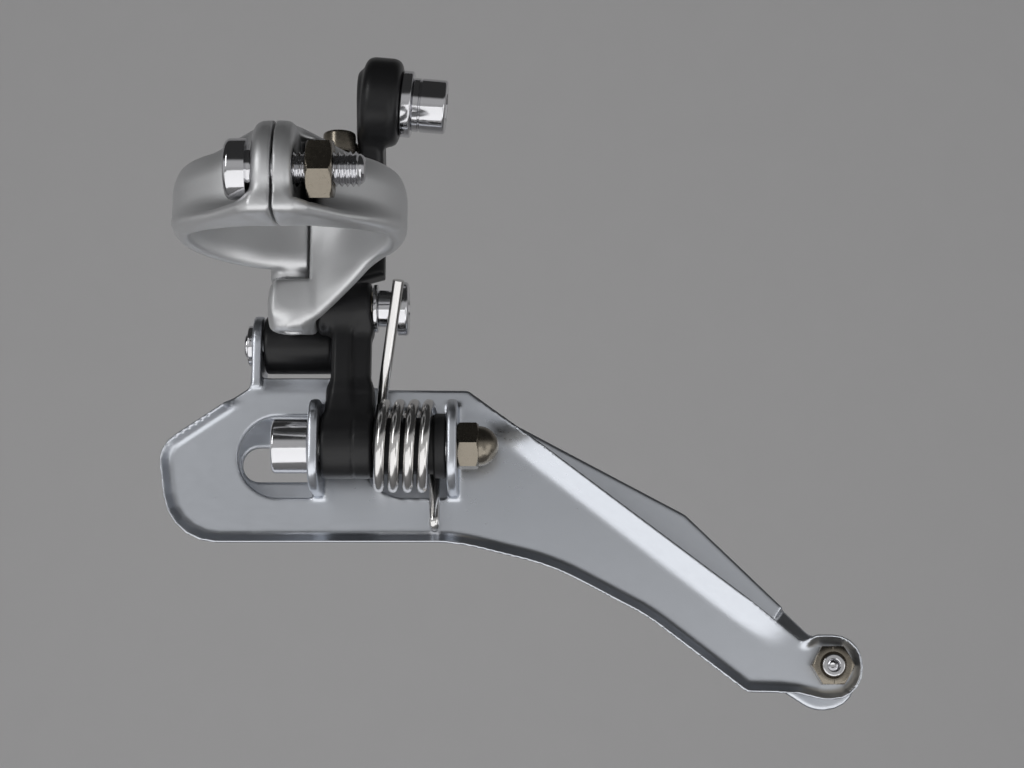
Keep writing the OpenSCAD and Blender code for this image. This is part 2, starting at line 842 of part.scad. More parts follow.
// Tab on the bridge that carries the lower outer pin
module pin_tab(x0, x1) {
    along_x(x0, x1)
        difference() {
            union() {
                translate(d)
                    circle(d = outer_tab_d);
                translate([d[0] - outer_tab_d / 2, bridge_z - plate_t])
                    square([outer_tab_d, d[1] - bridge_z + plate_t]);
            }
            translate(d)
                circle(pin_d / 2 + press_play);
        }
}

// Strip along the upper rear edge, tilted towards the frame
module bent_strip() {
    reach = norm(crease_v);
    root = 0.6;
    tail_reach = 2;
    sink = 0.2;
    translate([crease_from[0], plate_y + plate_t - sink, crease_from[1]])
        rotate([0, -atan2(crease_v[1], crease_v[0]), 0])
            rotate([90 + strip_tilt, 0, 0])
                linear_extrude(plate_t)
                    polygon([[0, -root], [reach, -root], [reach + tail_reach, strip_w],
                             [strip_w + root, strip_w]]);
}

module cage_inner_plate() {
    outline = inner_outline();
    // Part of the outline without a lip: the bridge, the strip and the tail
    bare = [[-12, bridge_z + 1], [-12, bridge_z - 4], [20, bridge_z - 4], [tail_x - 12, tail_z + 1],
            [tail_x - 12, tail_z - far], [far, tail_z - far], [far, bridge_z + 1]];
    cut_from = -11;
    cut_step = 6.2;
    color(cage_silver)
        difference() {
            union() {
                difference() {
                    union() {
                        along_y(plate_y, plate_y + plate_t)
                            polygon(outline);
                        // Lip along the belly and the nose
                        difference() {
                            along_y(plate_y - lip_h, plate_y + lap)
                                polygon(outline);
                            along_y(plate_y - lip_h - 1, plate_y + 1)
                                polygon(inset(outline, plate_t));
                            along_y(plate_y - lip_h - 1, plate_y + 1)
                                polygon(bare);
                        }
                    }
                    along_y(plate_y - 1, plate_y + plate_t + 1) {
                        cut_out(cut_from, tab_x0);
                        cut_out(barrel_x0 + cut_step, rear_tab_x0);
                    }
                }
                axle_tab(tab_x0, tab_x1);
                axle_tab(rear_tab_x0, rear_tab_x1);
                bent_strip();
                // Bridge over the chain and the flange that the outer plate is riveted to
                translate([bridge_x0, plate_y, bridge_z - plate_t])
                    cube([bridge_x1 - bridge_x0, outer_y - plate_y, plate_t]);
                translate([bridge_x0, outer_y - plate_t, bridge_z - flange_h])
                    cube([bridge_x1 - bridge_x0, plate_t, flange_h]);
                pin_tab(bridge_x0, bridge_x0 + tab_t);
                pin_tab(bridge_x1 - tab_t, bridge_x1);
            }
            rivet_holes();
            tail_hole();
        }
}

// Rivet holes through the flange and the outer plate, clear of the inner plate
module rivet_holes() {
    for (x = rivet_x)
        translate([x, outer_y - cage_gap / 2, rivet_z])
            rotate([-90, 0, 0])
                cylinder(r = rivet_r + press_play, h = far);
}

module tail_hole() {
    translate([tail_x, 0, tail_z])
        rotate([-90, 0, 0])
            cylinder(d = tail_screw_d + 2 * press_play, h = far);
}

// Outline of the outer plate in X and Z, clockwise from the bridge
function outer_outline() = rounded([
    [-8, bridge_z - 1, 3], [front_shoulder[0], bridge_z - front_shoulder[1], 4],
    [rear_shoulder[0], bridge_z - rear_shoulder[1], 3], [tail_x - 1.5, tail_z + 5.7, 2],
    [tail_x + 6.1, tail_z + 3.4, 4.5], [tail_x + 6.1, tail_z - 6.9, 5.6], [tail_x - 1.5, tail_z - 6.9, 6],
    [tail_x - 12.2, tail_z + 0.1, 3],
    [tail_x - bend_back, belly_z - bend_drop + 2 * outer_inset, belly_curve],
    [fall_x, belly_z - fall_drop + outer_inset, fall_curve], [belly_x, belly_z + outer_inset, belly_curve],
    [-nose_x + 2 * outer_inset, belly_z + outer_inset, 8], [-nose_x + 3, bridge_z - 12, 5]]);

module cage_outer_plate() {
    color(cage_silver)
        difference() {
            along_y(outer_y, outer_y + plate_t)
                difference() {
                    polygon(outer_outline());
                    // Long opening behind the front cut-out
                    translate([slot_from, c[1] - slot_drop])
                        circle(slot_r);
                    translate([slot_to, c[1] - slot_drop])
                        circle(slot_r);
                    translate([slot_from, c[1] - slot_drop - slot_r])
                        square([slot_to - slot_from, 2 * slot_r]);
                }
            rivet_holes();
            tail_hole();
        }
}

module cage_rivets() {
    color(chrome)
        for (x = rivet_x)
            translate([x, outer_y - plate_t - rivet_head_h, rivet_z])
                rotate([-90, 0, 0]) {
                    cylinder(r = rivet_head_r, h = rivet_head_h);
                    cylinder(r = rivet_r, h = 2 * plate_t + 2 * rivet_head_h);
                    translate([0, 0, 2 * plate_t + rivet_head_h])
                        cylinder(r = rivet_head_r, h = rivet_head_h);
                }
}

module cage_spacer() {
    color(chrome)
        translate([tail_x, plate_y + plate_t, tail_z])
            rotate([-90, 0, 0])
                linear_extrude(cage_gap)
                    difference() {
                        circle(tail_screw_d / 2 + spacer_wall);
                        circle(d = tail_screw_d + 2 * run_play);
                    }
}

module cage_screw() {
    from = plate_y - tail_nut_h - screw_end;
    to = outer_y + plate_t;
    color(chrome)
        translate([tail_x, from, tail_z])
            rotate([-90, 0, 0])
                difference() {
                    union() {
                        cylinder(d = tail_screw_d, h = to - from + lap);
                        translate([0, 0, to - from])
                            cylinder(d = screw_head_d, h = screw_head_h);
                    }
                    translate([0, 0, -1])
                        cylinder(d = screw_hole_d, h = screw_hole_h + 1);
                    translate([-far / 2, -slot_w / 2, to - from + screw_head_h - screw_slot_h])
                        cube([far, slot_w, far]);
                }
}

module cage_nut() {
    color(brassy)
        translate([tail_x, plate_y - tail_nut_h, tail_z])
            rotate([-90, 0, 0])
                linear_extrude(tail_nut_h)
                    difference() {
                        hexagon(tail_nut_af);
                        circle(d = tail_screw_d + 2 * press_play);
                    }
}

module lower_outer_pin() {
    color(chrome)
        union() {
            rod(d, pin_d / 2, bridge_x0 - lower_end, bridge_x1 + lap);
            rod(d, head_r, bridge_x1, bridge_x1 + lower_head_h);
        }
}

module lower_outer_clip() {
    color(chrome)
        along_x(bridge_x0 - lower_clip_t, bridge_x0)
            translate(d)
                difference() {
                    circle(lower_clip_r);
                    circle(pin_d / 2 + press_play);
                }
}

// Shoulder bolt of the lower inner pivot: head in front, acorn nut behind
module lower_inner_axle() {
    color(chrome)
        difference() {
            union() {
                rod(c, axle_head_d / 2, tab_x0 - axle_head_h, tab_x0);
                rod(c, axle_d / 2, tab_x0 - lap, rear_tab_x1 + acorn_hex_h);
            }
            along_x(-far, tab_x0 - axle_head_h + axle_socket_h)
                translate(c)
                    hexagon(axle_d * socket_share);
        }
}

// Acorn nut: a hexagon and a dome over a blind bore
module axle_nut() {
    dome_r = acorn_af / 2 - 0.2;
    color(brassy)
        difference() {
            union() {
                along_x(rear_tab_x1, rear_tab_x1 + acorn_hex_h)
                    translate(c)
                        hexagon(acorn_af);
                translate([rear_tab_x1 + acorn_hex_h - lap, c[0], c[1]])
                    rotate([0, 90, 0])
                        rotate_extrude()
                            intersection() {
                                circle(dome_r);
                                square(dome_r);
                            }
            }
            rod(c, axle_d / 2 + press_play, -far, rear_tab_x1 + acorn_hex_h + lap);
        }
}

// Spring
// Guide inside the coils, with a flange against the rear tab
module spring_collar() {
    guide_room = 1.2;
    flange_room = 0.3;
    flange_t = 0.6;
    guide_r = coil_r - wire_d / 2 - guide_room;
    color(black)
        difference() {
            union() {
                rod(c, guide_r, barrel_x1 + side_play, collar_x1);
                rod(c, coil_r * cos(180 / rings) - wire_d / 2 - flange_room, spring_x1 - flange_t, collar_x1);
            }
            rod(c, axle_d / 2 + run_play, -far, far);
        }
}

// Ring of six points round the wire at point i
function wire_ring(i) =
    let (n = len(wire))
    let (way = wire[min(i + 1, n - 1)] - wire[max(i - 1, 0)])
    let (u = cross(way, [1, 0, 0]))
    let (e = u / norm(u))
    let (v = cross(way, e))
    let (f = v / norm(v))
    [for (k = [0:5]) wire[i] + wire_d / 2 * (e * cos(60 * k) + f * sin(60 * k))];

module return_spring() {
    n = len(wire);
    points = [for (i = [0:n - 1]) each wire_ring(i)];
    sides = [for (i = [0:n - 2]) for (k = [0:5])
        let (p = 6 * i + k)
        let (q = 6 * i + (k + 1) % 6)
        each [[p, p + 6, q], [q, p + 6, q + 6]]];
    start = [for (k = [1:4]) [0, k, k + 1]];
    end = [for (k = [1:4]) [6 * n - 6, 6 * n - 6 + k + 1, 6 * n - 6 + k]];
    echo(wire_gap = wire_gap);
    color(chrome)
        polyhedron(points, concat(sides, start, end));
}

clamp_body();
clamp_strap();
clamp_hinge_pin();
clamp_bolt();
clamp_nut();
inner_link();
inner_link_bushes();
upper_inner_pin();
upper_pin_washer();
outer_link();
upper_outer_pin();
upper_outer_clip();
cable_washer();
cable_bolt();
low_limit_screw();
high_limit_screw();
cage_inner_plate();
cage_outer_plate();
cage_rivets();
cage_spacer();
cage_screw();
cage_nut();
lower_outer_pin();
lower_outer_clip();
lower_inner_axle();
axle_nut();
spring_collar();
return_spring();
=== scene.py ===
"""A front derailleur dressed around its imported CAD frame: cast clamp, forged links, pressed cage, spring, fasteners."""
import logging
import math
from dataclasses import dataclass
from enum import Enum
from typing import Any, Callable, Sequence

import bmesh
import bpy
import numpy as np
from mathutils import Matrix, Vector


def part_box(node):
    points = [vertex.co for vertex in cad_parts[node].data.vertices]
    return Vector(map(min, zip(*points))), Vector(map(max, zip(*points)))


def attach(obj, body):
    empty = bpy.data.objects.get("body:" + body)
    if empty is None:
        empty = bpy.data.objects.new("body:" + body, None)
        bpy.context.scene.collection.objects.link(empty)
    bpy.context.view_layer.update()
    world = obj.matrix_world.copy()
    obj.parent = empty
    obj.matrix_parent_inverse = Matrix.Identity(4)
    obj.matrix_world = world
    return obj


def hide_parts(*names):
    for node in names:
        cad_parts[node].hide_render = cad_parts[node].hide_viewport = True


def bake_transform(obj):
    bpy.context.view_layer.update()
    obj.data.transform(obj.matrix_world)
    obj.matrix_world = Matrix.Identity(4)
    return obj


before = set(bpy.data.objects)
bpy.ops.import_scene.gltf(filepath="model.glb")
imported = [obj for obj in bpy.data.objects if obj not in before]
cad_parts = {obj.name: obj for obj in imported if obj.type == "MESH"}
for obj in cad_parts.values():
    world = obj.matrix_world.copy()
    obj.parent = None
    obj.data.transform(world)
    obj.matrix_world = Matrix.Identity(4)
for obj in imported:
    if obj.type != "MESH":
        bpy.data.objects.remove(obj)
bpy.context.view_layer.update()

LOG = logging.getLogger("derailleur")

Array = np.ndarray
Radius = float | Callable[[float], float]
Station = tuple[float, Radius]
Field = Callable[[Array, Array, Array], Array]
Pair = tuple[float, float]
Triple = tuple[float, float, float]
Pairs = tuple[Pair, ...]
Piece = bpy.types.Object
Tree = bpy.types.NodeTree
Socket = bpy.types.NodeSocket

MM = 0.001
X_AXIS, Y_AXIS, Z_AXIS = AXES = Vector((1, 0, 0)), Vector((0, 1, 0)), Vector((0, 0, 1))
# Edges that turn more than this stay sharp
SHARP_DEG = 32.0
# Radii of the pivot pins, the lower axle, the limit screws and the cable bolt's thread
PIN_R = 2.0
AXLE_R = 2.5
LIMIT_R = 1.5
CABLE_R = 2.5
# What the bore of a ring or nut is larger in radius than what it sits on, loosely and tightly
LOOSE_GAP = 0.04
TIGHT_GAP = 0.015
# Width of the sockets for a hexagon key
KEY_AF = 4.0
# What a hole is larger in radius than a pin that stays in it, and than one that turns
FIXED_FIT = 0.03
TURNING_FIT = 0.05
# Rounding at the edge of a hole in a casting, and in sheet metal
HOLE_EDGE = 0.4
SHEET_EDGE = 0.3
# Size of the clouds in a finish, and the stretch of a brushed one
CLOUD_MM = 14.0
BRUSH_STRETCH = (0.25, 1.0, 0.6)
# Name of the point attribute that marks painted shade, a dark colour painted into a shaded recess
PAINTED_SHADE = "grime"
# Pivots as Y and Z in millimetres: upper inner and outer, lower inner and outer, and the cable anchor
PIVOT_A: Pair = (24.4, -9.2)
PIVOT_B: Pair = (35.4, 9.2)
PIVOT_C: Pair = (21.996, -32.074)
PIVOT_D: Pair = (32.996, -13.674)
ANCHOR: Pair = (24.5, 26.1)
# Tilt of the cable anchor's axis in degrees
ANCHOR_TILT = 5.0
# Axis of the clamp's hinge as X and Y
HINGE: Pair = (-1.7, 19.0)
# Depths of the steps in a nut's chamfer
HEX_STEPS = (0.0, 0.06, 0.12, 0.2, 0.3, 0.42, 0.55)


def feed(tree: Tree, node: bpy.types.Node, inputs: dict[str | int, Any]) -> None:
    """Links or sets inputs of a node.

    Args:
        tree: Node tree of the node.
        node: The node.
        inputs: A socket to link or a value to set, by each input's name or number.
    """
    for name, value in inputs.items():
        if isinstance(value, Socket):
            tree.links.new(value, node.inputs[name])
        else:
            node.inputs[name].default_value = value


def add_node(tree: Tree, kind: str, inputs: dict[str | int, Any] | None = None, **options: Any) -> bpy.types.Node:
    """Adds a node to a tree.

    Args:
        tree: The node tree.
        kind: Type of the node.
        inputs: What goes into it, as in feed.
        **options: Settings of the node.

    Returns:
        The new node.
    """
    node = tree.nodes.new(kind)
    for name, value in options.items():
        setattr(node, name, value)
    feed(tree, node, inputs or {})
    return node


def mix(tree: Tree, first: Socket | Triple, second: Triple, share: Socket) -> Socket:
    """Mixes two colours.

    Args:
        tree: Node tree of the material.
        first: First colour, as a socket or a linear colour.
        second: Second colour.
        share: Share of the second.

    Returns:
        The mixed colour.
    """
    start = first if isinstance(first, Socket) else (*first, 1.0)
    node = add_node(tree, "ShaderNodeMix", {"A": start, "B": (*second, 1.0), "Factor": share}, data_type="RGBA")
    return node.outputs["Result"]


class Grain(Enum):
    """How a finish breaks up its surface."""

    CAST = "cast"
    BRUSHED = "brushed"
    PLATED = "plated"
    MOULDED = "moulded"


@dataclass(frozen=True)
class Finish:
    """One surface finish, from which a procedural material is made.

    Args:
        name: Name of the material.
        slot: Material slot of the record.
        colour: Linear base colour.
        tint: Linear colour of the worn or clouded patches.
        metallic: Metallic value of the shader.
        rough: Lowest and highest roughness.
        grain: Kind of surface detail.
        grain_mm: Size of the detail.
        bump: Height of the detail in millimetres.
        grime: Linear colour of the painted shade, a dark colour painted where a piece's attribute marks shade.
    """

    name: str
    slot: str
    colour: Triple
    tint: Triple
    metallic: float
    rough: Pair
    grain: Grain
    grain_mm: float
    bump: float
    grime: Triple | None = None

    def material(self) -> bpy.types.Material:
        """Makes the material, or returns the one made before.

        Returns:
            The node material of this finish.
        """
        made = bpy.data.materials.get(self.name)
        if made is not None:
            return made
        made = bpy.data.materials.new(self.name)
        made.use_nodes = True
        tree = made.node_tree
        place = add_node(tree, "ShaderNodeTexCoord").outputs["Object"]
        fine = self._noise(tree, place, self.grain_mm, 3.0, 0.6)
        cloud = self._noise(tree, place, CLOUD_MM, 2.0, 0.5)
        colour = mix(tree, self.colour, self.tint, cloud)
        # Painted shade: where the piece's painted-shade attribute is set, the base colour goes to the dark shade colour
        if self.grime is not None:
            shade_mask = add_node(tree, "ShaderNodeAttribute", attribute_name=PAINTED_SHADE)
            colour = mix(tree, colour, self.grime, shade_mask.outputs["Fac"])
        half = add_node(tree, "ShaderNodeMath", {0: cloud, 1: 0.5}, operation="MULTIPLY")
        both = add_node(tree, "ShaderNodeMath", {0: fine, 1: 0.5, 2: half.outputs[0]}, operation="MULTIPLY_ADD")
        rough = add_node(tree, "ShaderNodeMapRange", {
            "Value": both.outputs[0], "From Min": 0.3, "From Max": 0.7, "To Min": self.rough[0],
            "To Max": self.rough[1]})
        bump = add_node(tree, "ShaderNodeBump", {"Strength": 1.0, "Distance": self.bump * MM, "Height": fine})
        feed(tree, tree.nodes["Principled BSDF"], {
            "Base Color": colour, "Metallic": self.metallic, "Roughness": rough.outputs["Result"],
            "Normal": bump.outputs["Normal"], "Specular IOR Level": 0.5 if self.metallic else 0.3})
        return made

    def _noise(self, tree: Tree, place: Socket, size: float, detail: float, rough: float) -> Socket:
        """Adds one noise texture, drawn out along X for a brushed finish.

        Args:
            tree: Node tree of the material.
            place: The coordinates.
            size: Size of the noise in millimetres.
            detail: Octaves of the noise.
            rough: Roughness of the octaves.

        Returns:
            The noise value.
        """
        if self.grain is Grain.BRUSHED:
            place = add_node(tree, "ShaderNodeMapping", {"Vector": place, "Scale": BRUSH_STRETCH}).outputs["Vector"]
        inputs = {"Vector": place, "Scale": 1.0 / (size * MM), "Detail": detail, "Roughness": rough}
        return add_node(tree, "ShaderNodeTexNoise", inputs).outputs["Fac"]


# The clamp casting carries a near-black painted shade colour, used for the shaded slot by the nut
CLAMP_METAL = Finish("satin_cast_alloy", "clamp_metal", (0.60, 0.605, 0.615), (0.66, 0.665, 0.675), 0.8,
                     (0.38, 0.50), Grain.CAST, 0.35, 0.012, grime=(0.012, 0.012, 0.013))
CAGE_STEEL = Finish("plated_sheet_steel", "cage_steel", (0.56, 0.585, 0.63), (0.62, 0.645, 0.69), 1.0,
                    (0.26, 0.40), Grain.BRUSHED, 0.5, 0.004)
BLACK_ALLOY = Finish("black_satin_alloy", "black_alloy", (0.009, 0.009, 0.010), (0.016, 0.016, 0.017), 0.0,
                     (0.26, 0.42), Grain.CAST, 0.4, 0.012)
CHROME = Finish("bright_chrome", "chrome_steel", (0.60, 0.60, 0.62), (0.66, 0.66, 0.68), 1.0,
                (0.07, 0.18), Grain.PLATED, 0.8, 0.002)
NICKEL_BRASS = Finish("dull_nickel_brass", "nickel_brass", (0.215, 0.19, 0.155), (0.255, 0.23, 0.19), 1.0,
                      (0.18, 0.34), Grain.PLATED, 0.6, 0.005)
BRONZE = Finish("bush_bronze", "bush_bronze", (0.36, 0.25, 0.11), (0.42, 0.31, 0.16), 1.0,
                (0.32, 0.5), Grain.PLATED, 0.4, 0.006)
BLACK_PLASTIC = Finish("black_nylon", "black_plastic", (0.014, 0.014, 0.015), (0.024, 0.024, 0.025), 0.0,
                       (0.38, 0.55), Grain.MOULDED, 0.3, 0.008)
SPRING_STEEL = Finish("bright_spring_wire", "spring_steel", (0.60, 0.59, 0.58), (0.68, 0.67, 0.66), 1.0,
                      (0.10, 0.24), Grain.PLATED, 0.7, 0.003)


def report(piece: Piece) -> None:
    """Logs a finished piece and its number of triangles."""
    piece.data.calc_loop_triangles()
    LOG.info("%s: %d triangles", piece.name, len(piece.data.loop_triangles))


def add_object(name: str, data: bpy.types.ID) -> Piece:
    """Puts a mesh, curve, lamp or camera in the scene as an object at the origin.

    Args:
        name: Name of the object.
        data: What it shows.

    Returns:
        The new object.
    """
    piece = bpy.data.objects.new(name, data)
    bpy.context.scene.collection.objects.link(piece)
    return piece


def from_bmesh(name: str, bm: bmesh.types.BMesh) -> Piece:
    """Turns a bmesh into a smooth-shaded object with sharp edges kept.

    Args:
        name: Name of the object.
        bm: The bmesh, freed here.

    Returns:
        The new object.
    """
    bmesh.ops.recalc_face_normals(bm, faces=bm.faces)
    mesh = bpy.data.meshes.new(name)
    bm.to_mesh(mesh)
    bm.free()
    mesh.shade_smooth()
    mesh.set_sharp_from_angle(angle=math.radians(SHARP_DEG))
    return add_object(name, mesh)


def freeze(piece: Piece) -> Piece:
    """Replaces a piece's mesh or curve and its modifiers by the plain mesh that they give.

    Args:
        piece: Object with modifiers.

    Returns:
        A plain mesh object of the same name.
    """
    name = piece.name
    graph = bpy.context.evaluated_depsgraph_get()
    mesh = bpy.data.meshes.new_from_object(piece.evaluated_get(graph), depsgraph=graph)
    bpy.data.objects.remove(piece)
    mesh.name = name
    return add_object(name, mesh)


def grow(piece: Piece, finish: Finish, values: dict[str, tuple[str, Any]],
         core: Callable[[Tree, Any], Socket]) -> Piece:
    """Runs Geometry Nodes on a piece, with Realize Instances and Set Material at the end.

    Args:
        piece: Object with the points or the curve.
        finish: Finish of the result.
        values: Kind and value of each input of the node group, by name.
        core: Adds the nodes that make the shape, given the tree and the group's inputs, and returns their geometry.

    Returns:
        The result as a plain mesh object of the same name.
    """
    tree = bpy.data.node_groups.new(piece.name + "_nodes", "GeometryNodeTree")
    values = {**values, "Finish": ("Material", finish.material())}
    tree.interface.new_socket("Geometry", in_out="INPUT", socket_type="NodeSocketGeometry")
    keys = {name: tree.interface.new_socket(name, in_out="INPUT", socket_type="NodeSocket" + kind).identifier
            for name, (kind, _) in values.items()}
    tree.interface.new_socket("Geometry", in_out="OUTPUT", socket_type="NodeSocketGeometry")
    start = add_node(tree, "NodeGroupInput").outputs
    real = add_node(tree, "GeometryNodeRealizeInstances", {"Geometry": core(tree, start)})
    dress = add_node(tree, "GeometryNodeSetMaterial", {
        "Geometry": real.outputs["Geometry"], "Material": start["Finish"]})
    add_node(tree, "NodeGroupOutput", {"Geometry": dress.outputs["Geometry"]})
    modifier = piece.modifiers.new("nodes", "NODES")
    modifier.node_group = tree
    for name, (_, value) in values.items():
        modifier[keys[name]] = value
    return freeze(piece)


def paint(piece: Piece, finish: Finish) -> None:
    """Gives a piece one finish."""
    piece.data.materials.clear()
    piece.data.materials.append(finish.material())


def settle(piece: Piece, body: str, finish: Finish, node: str) -> None:
    """Gives a piece its finish and ties it to its body and to the CAD node it stands for.

    Args:
        piece: The finished object.
        body: CAD body that it moves with.
        finish: Its finish.
        node: CAD node that it replaces.
    """
    paint(piece, finish)
    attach(piece, body)
    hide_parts(node)
    report(piece)


def paint_shade(piece: Piece, shade_mask: Field) -> None:
    """Stores on a piece's points how much painted shade lies there: a share that darkens the colour as shade would.

    Args:
        piece: The piece.
        shade_mask: Share of painted shade, from 0 to 1, by place in millimetres.
    """
    places = np.empty(3 * len(piece.data.vertices))
    piece.data.vertices.foreach_get("co", places)
    share = shade_mask(*(places.reshape(-1, 3).T / MM))
    piece.data.attributes.new(PAINTED_SHADE, "FLOAT", "POINT").data.foreach_set("value", share.astype(np.float32))


def centre(node: str) -> Vector:
    """Middle of a CAD node's box, in metres."""
    low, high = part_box(node)
    return (low + high) / 2


def length(node: str, way: int = 0) -> float:
    """Length of a CAD node's box along the axis of that number, in millimetres."""
    low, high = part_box(node)
    return (high[way] - low[way]) / MM


def hexagon(af: float, limit: float = math.inf) -> Callable[[float], float]:
    """Radius by angle of a hexagon with a corner at angle zero, cut back to a circle."""
    return lambda turn: min(af / 2 / math.cos(turn % (math.pi / 3) - math.pi / 6), limit)


def hex_sides(height: float, af: float) -> list[Station]:
    """Stations of a nut's six sides, chamfered at both ends."""
    end = [(t, hexagon(af, af / 2 * 0.97 + t * 1.73)) for t in HEX_STEPS]
    return end + [(height - t, radius) for t, radius in reversed(end)]


def round_edge(at: float, radius: float, fillet: float, way: float, steps: int = 5) -> list[Station]:
    """Stations of a rounded rim, from its end face on; way is 1 where the solid goes on along the axis, or -1."""
    turns = [math.pi / 2 * k / steps for k in range(steps + 1)]
    return [(at + way * fillet * (1 - math.cos(t)), radius - fillet * (1 - math.sin(t))) for t in turns]


def ring(bore: float, outer: float, thick: float, edge: float) -> list[Station]:
    """Stations of a ring with rounded rims."""
    return [(0.0, bore), *round_edge(0.0, outer, edge, 1), *reversed(round_edge(thick, outer, edge, -1)), (thick, bore)]


def thread(start: float, end: float, radius: float, pitch: float, depth: float, per_turn: int = 8) -> list[Station]:
    """Stations of a screw thread, as a helical ridge that fades out at both ends.

    Args:
        start, end: Places along the axis in millimetres.
        radius: Radius over the crests.
        pitch: Distance between crests.
        depth: Depth of the thread.
        per_turn: Stations for each turn of the thread.

    Returns:
        The stations from start to end.
    """
    count = max(2, round(abs(end - start) / pitch * per_turn))

    def at(place: float, fade: float) -> Callable[[float], float]:
        """Radius by angle at one place."""
        def ridge(turn: float) -> float:
            """Radius at one angle."""
            share = (place / pitch - turn / (2 * math.pi)) % 1.0
            low = 0.5 - 0.5 * math.cos(2 * math.pi * share)
            return radius - depth * (fade * low ** 0.8 + (1 - fade))
        return ridge

    places = [start + (end - start) * k / count for k in range(count + 1)]
    return [(p, at(p, min(1.0, min(abs(p - start), abs(end - p)) / pitch / 0.5))) for p in places]


def turned(name: str, origin: Vector, axis: Vector, first: Vector, stations: Sequence[Station],
           segments: int = 96) -> Piece:
    """A turned or hexagonal piece from stations along an axis.

    The stations run round the section. A radius of zero makes a pole, and a section without poles closes on itself.

    Args:
        name: Name of the object.
        origin: Point of the axis at station zero, in metres.
        axis: Direction of the axis.
        first: Direction of angle zero.
        stations: Places along the axis and radii in millimetres.
        segments: Number of points round the axis.

    Returns:
        The new object.
    """
    axis = axis.normalized()
    u = (first - axis * first.dot(axis)).normalized()
    v = axis.cross(u)
    bm = bmesh.new()
    rings: list[list[bmesh.types.BMVert]] = []
    for along, radius in stations:
        middle = origin + axis * along * MM
        if not callable(radius) and radius == 0:
            rings.append([bm.verts.new(middle)])
            continue
        circle = []
        for k in range(segments):
            turn = 2 * math.pi * k / segments
            size = radius(turn) if callable(radius) else radius
            circle.append(bm.verts.new(middle + (u * math.cos(turn) + v * math.sin(turn)) * size * MM))
        rings.append(circle)
    pairs = list(zip(rings, rings[1:]))
    if len(rings[0]) > 1:
        pairs.append((rings[-1], rings[0]))
    for here, there in pairs:
        for k in range(segments):
            j = (k + 1) % segments
            if len(here) == 1:
                bm.faces.new((here[0], there[k], there[j]))
            elif len(there) == 1:
                bm.faces.new((here[k], there[0], here[j]))
            else:
                bm.faces.new((here[k], there[k], there[j], here[j]))
    return from_bmesh(name, bm)


def turn_node(node: str, ending: str, body: str, finish: Finish, stations: Sequence[Station], way: int = 0,
              first: Vector = Z_AXIS, segments: int = 96, on: str = "") -> None:
    """Turns a piece in the place of a CAD node, from the low end of the node's box, and settles it.

    Args:
        node: The CAD node.
        ending: Ending of the piece's name.
        body: CAD body of the piece.
        finish: Its finish.
        stations: Places along the axis and radii in millimetres.
        way: Number of the axis.
        first: Direction of angle zero.
        segments: Number of points round the axis.
        on: Node whose middle the axis goes through, where it isn't the piece's own.
    """
    origin = centre(on or node)
    origin[way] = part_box(node)[0][way]
    settle(turned(f"{node}_{ending}", origin, AXES[way], first, stations, segments), body, finish, node)


def join(a: Array, b: Array, fillet: float) -> Array:
    """Joins two forms, given as distances that are negative inside, with a fillet between them."""
    share = np.clip(0.5 + 0.5 * (b - a) / fillet, 0.0, 1.0)
    return b * (1 - share) + a * share - fillet * share * (1 - share)


def common(a: Array, b: Array, edge: float) -> Array:
    """The part that two forms share, with its edges rounded."""
    return -join(-a, -b, edge)


def without(a: Array, b: Array, edge: float = HOLE_EDGE) -> Array:
    """A form with another cut out of it, and the cut's edges rounded."""
    return -join(-a, b, edge)


def span(u: Array, low: float, high: float) -> Array:
    """Distances to a slab between two planes."""
    return np.maximum(low - u, u - high)


def disc(u: Array, v: Array, at: Pair, radius: float) -> Array:
    """Distances to a disc in a plane."""
    return np.hypot(u - at[0], v - at[1]) - radius


def bar(u: Array, v: Array, p: Pair, rp: float, q: Pair, rq: float) -> Array:
    """A flat link between two round ends.

    Args:
        u, v: Coordinates in the plane.
        p, q: Middles of the ends.
        rp, rq: Their radii.

    Returns:
        Distances to the link.
    """
    du, dv = q[0] - p[0], q[1] - p[1]
    t = np.clip(((u - p[0]) * du + (v - p[1]) * dv) / (du * du + dv * dv), 0.0, 1.0)
    return np.hypot(u - p[0] - t * du, v - p[1] - t * dv) - (rp + (rq - rp) * t)


def area(u: Array, v: Array, corners: Sequence[Pair]) -> Array:
    """A flat area with straight sides.

    Args:
        u, v: Coordinates in the plane.
        corners: Corners of the area in order.

    Returns:
        Distances to the area.
    """
    shape = np.broadcast(u, v).shape
    least = np.full(shape, 1e12)
    inside = np.zeros(shape, bool)
    for (au, av), (bu, bv) in zip(corners, [*corners[1:], corners[0]]):
        eu, ev = bu - au, bv - av
        t = np.clip(((u - au) * eu + (v - av) * ev) / (eu * eu + ev * ev), 0.0, 1.0)
        least = np.minimum(least, (u - au - t * eu) ** 2 + (v - av - t * ev) ** 2)
        if ev != 0:
            inside ^= ((v >= min(av, bv)) & (v < max(av, bv))) & (u < au + (v - av) * eu / ev)
    return np.sqrt(least) * np.where(inside, -1.0, 1.0)


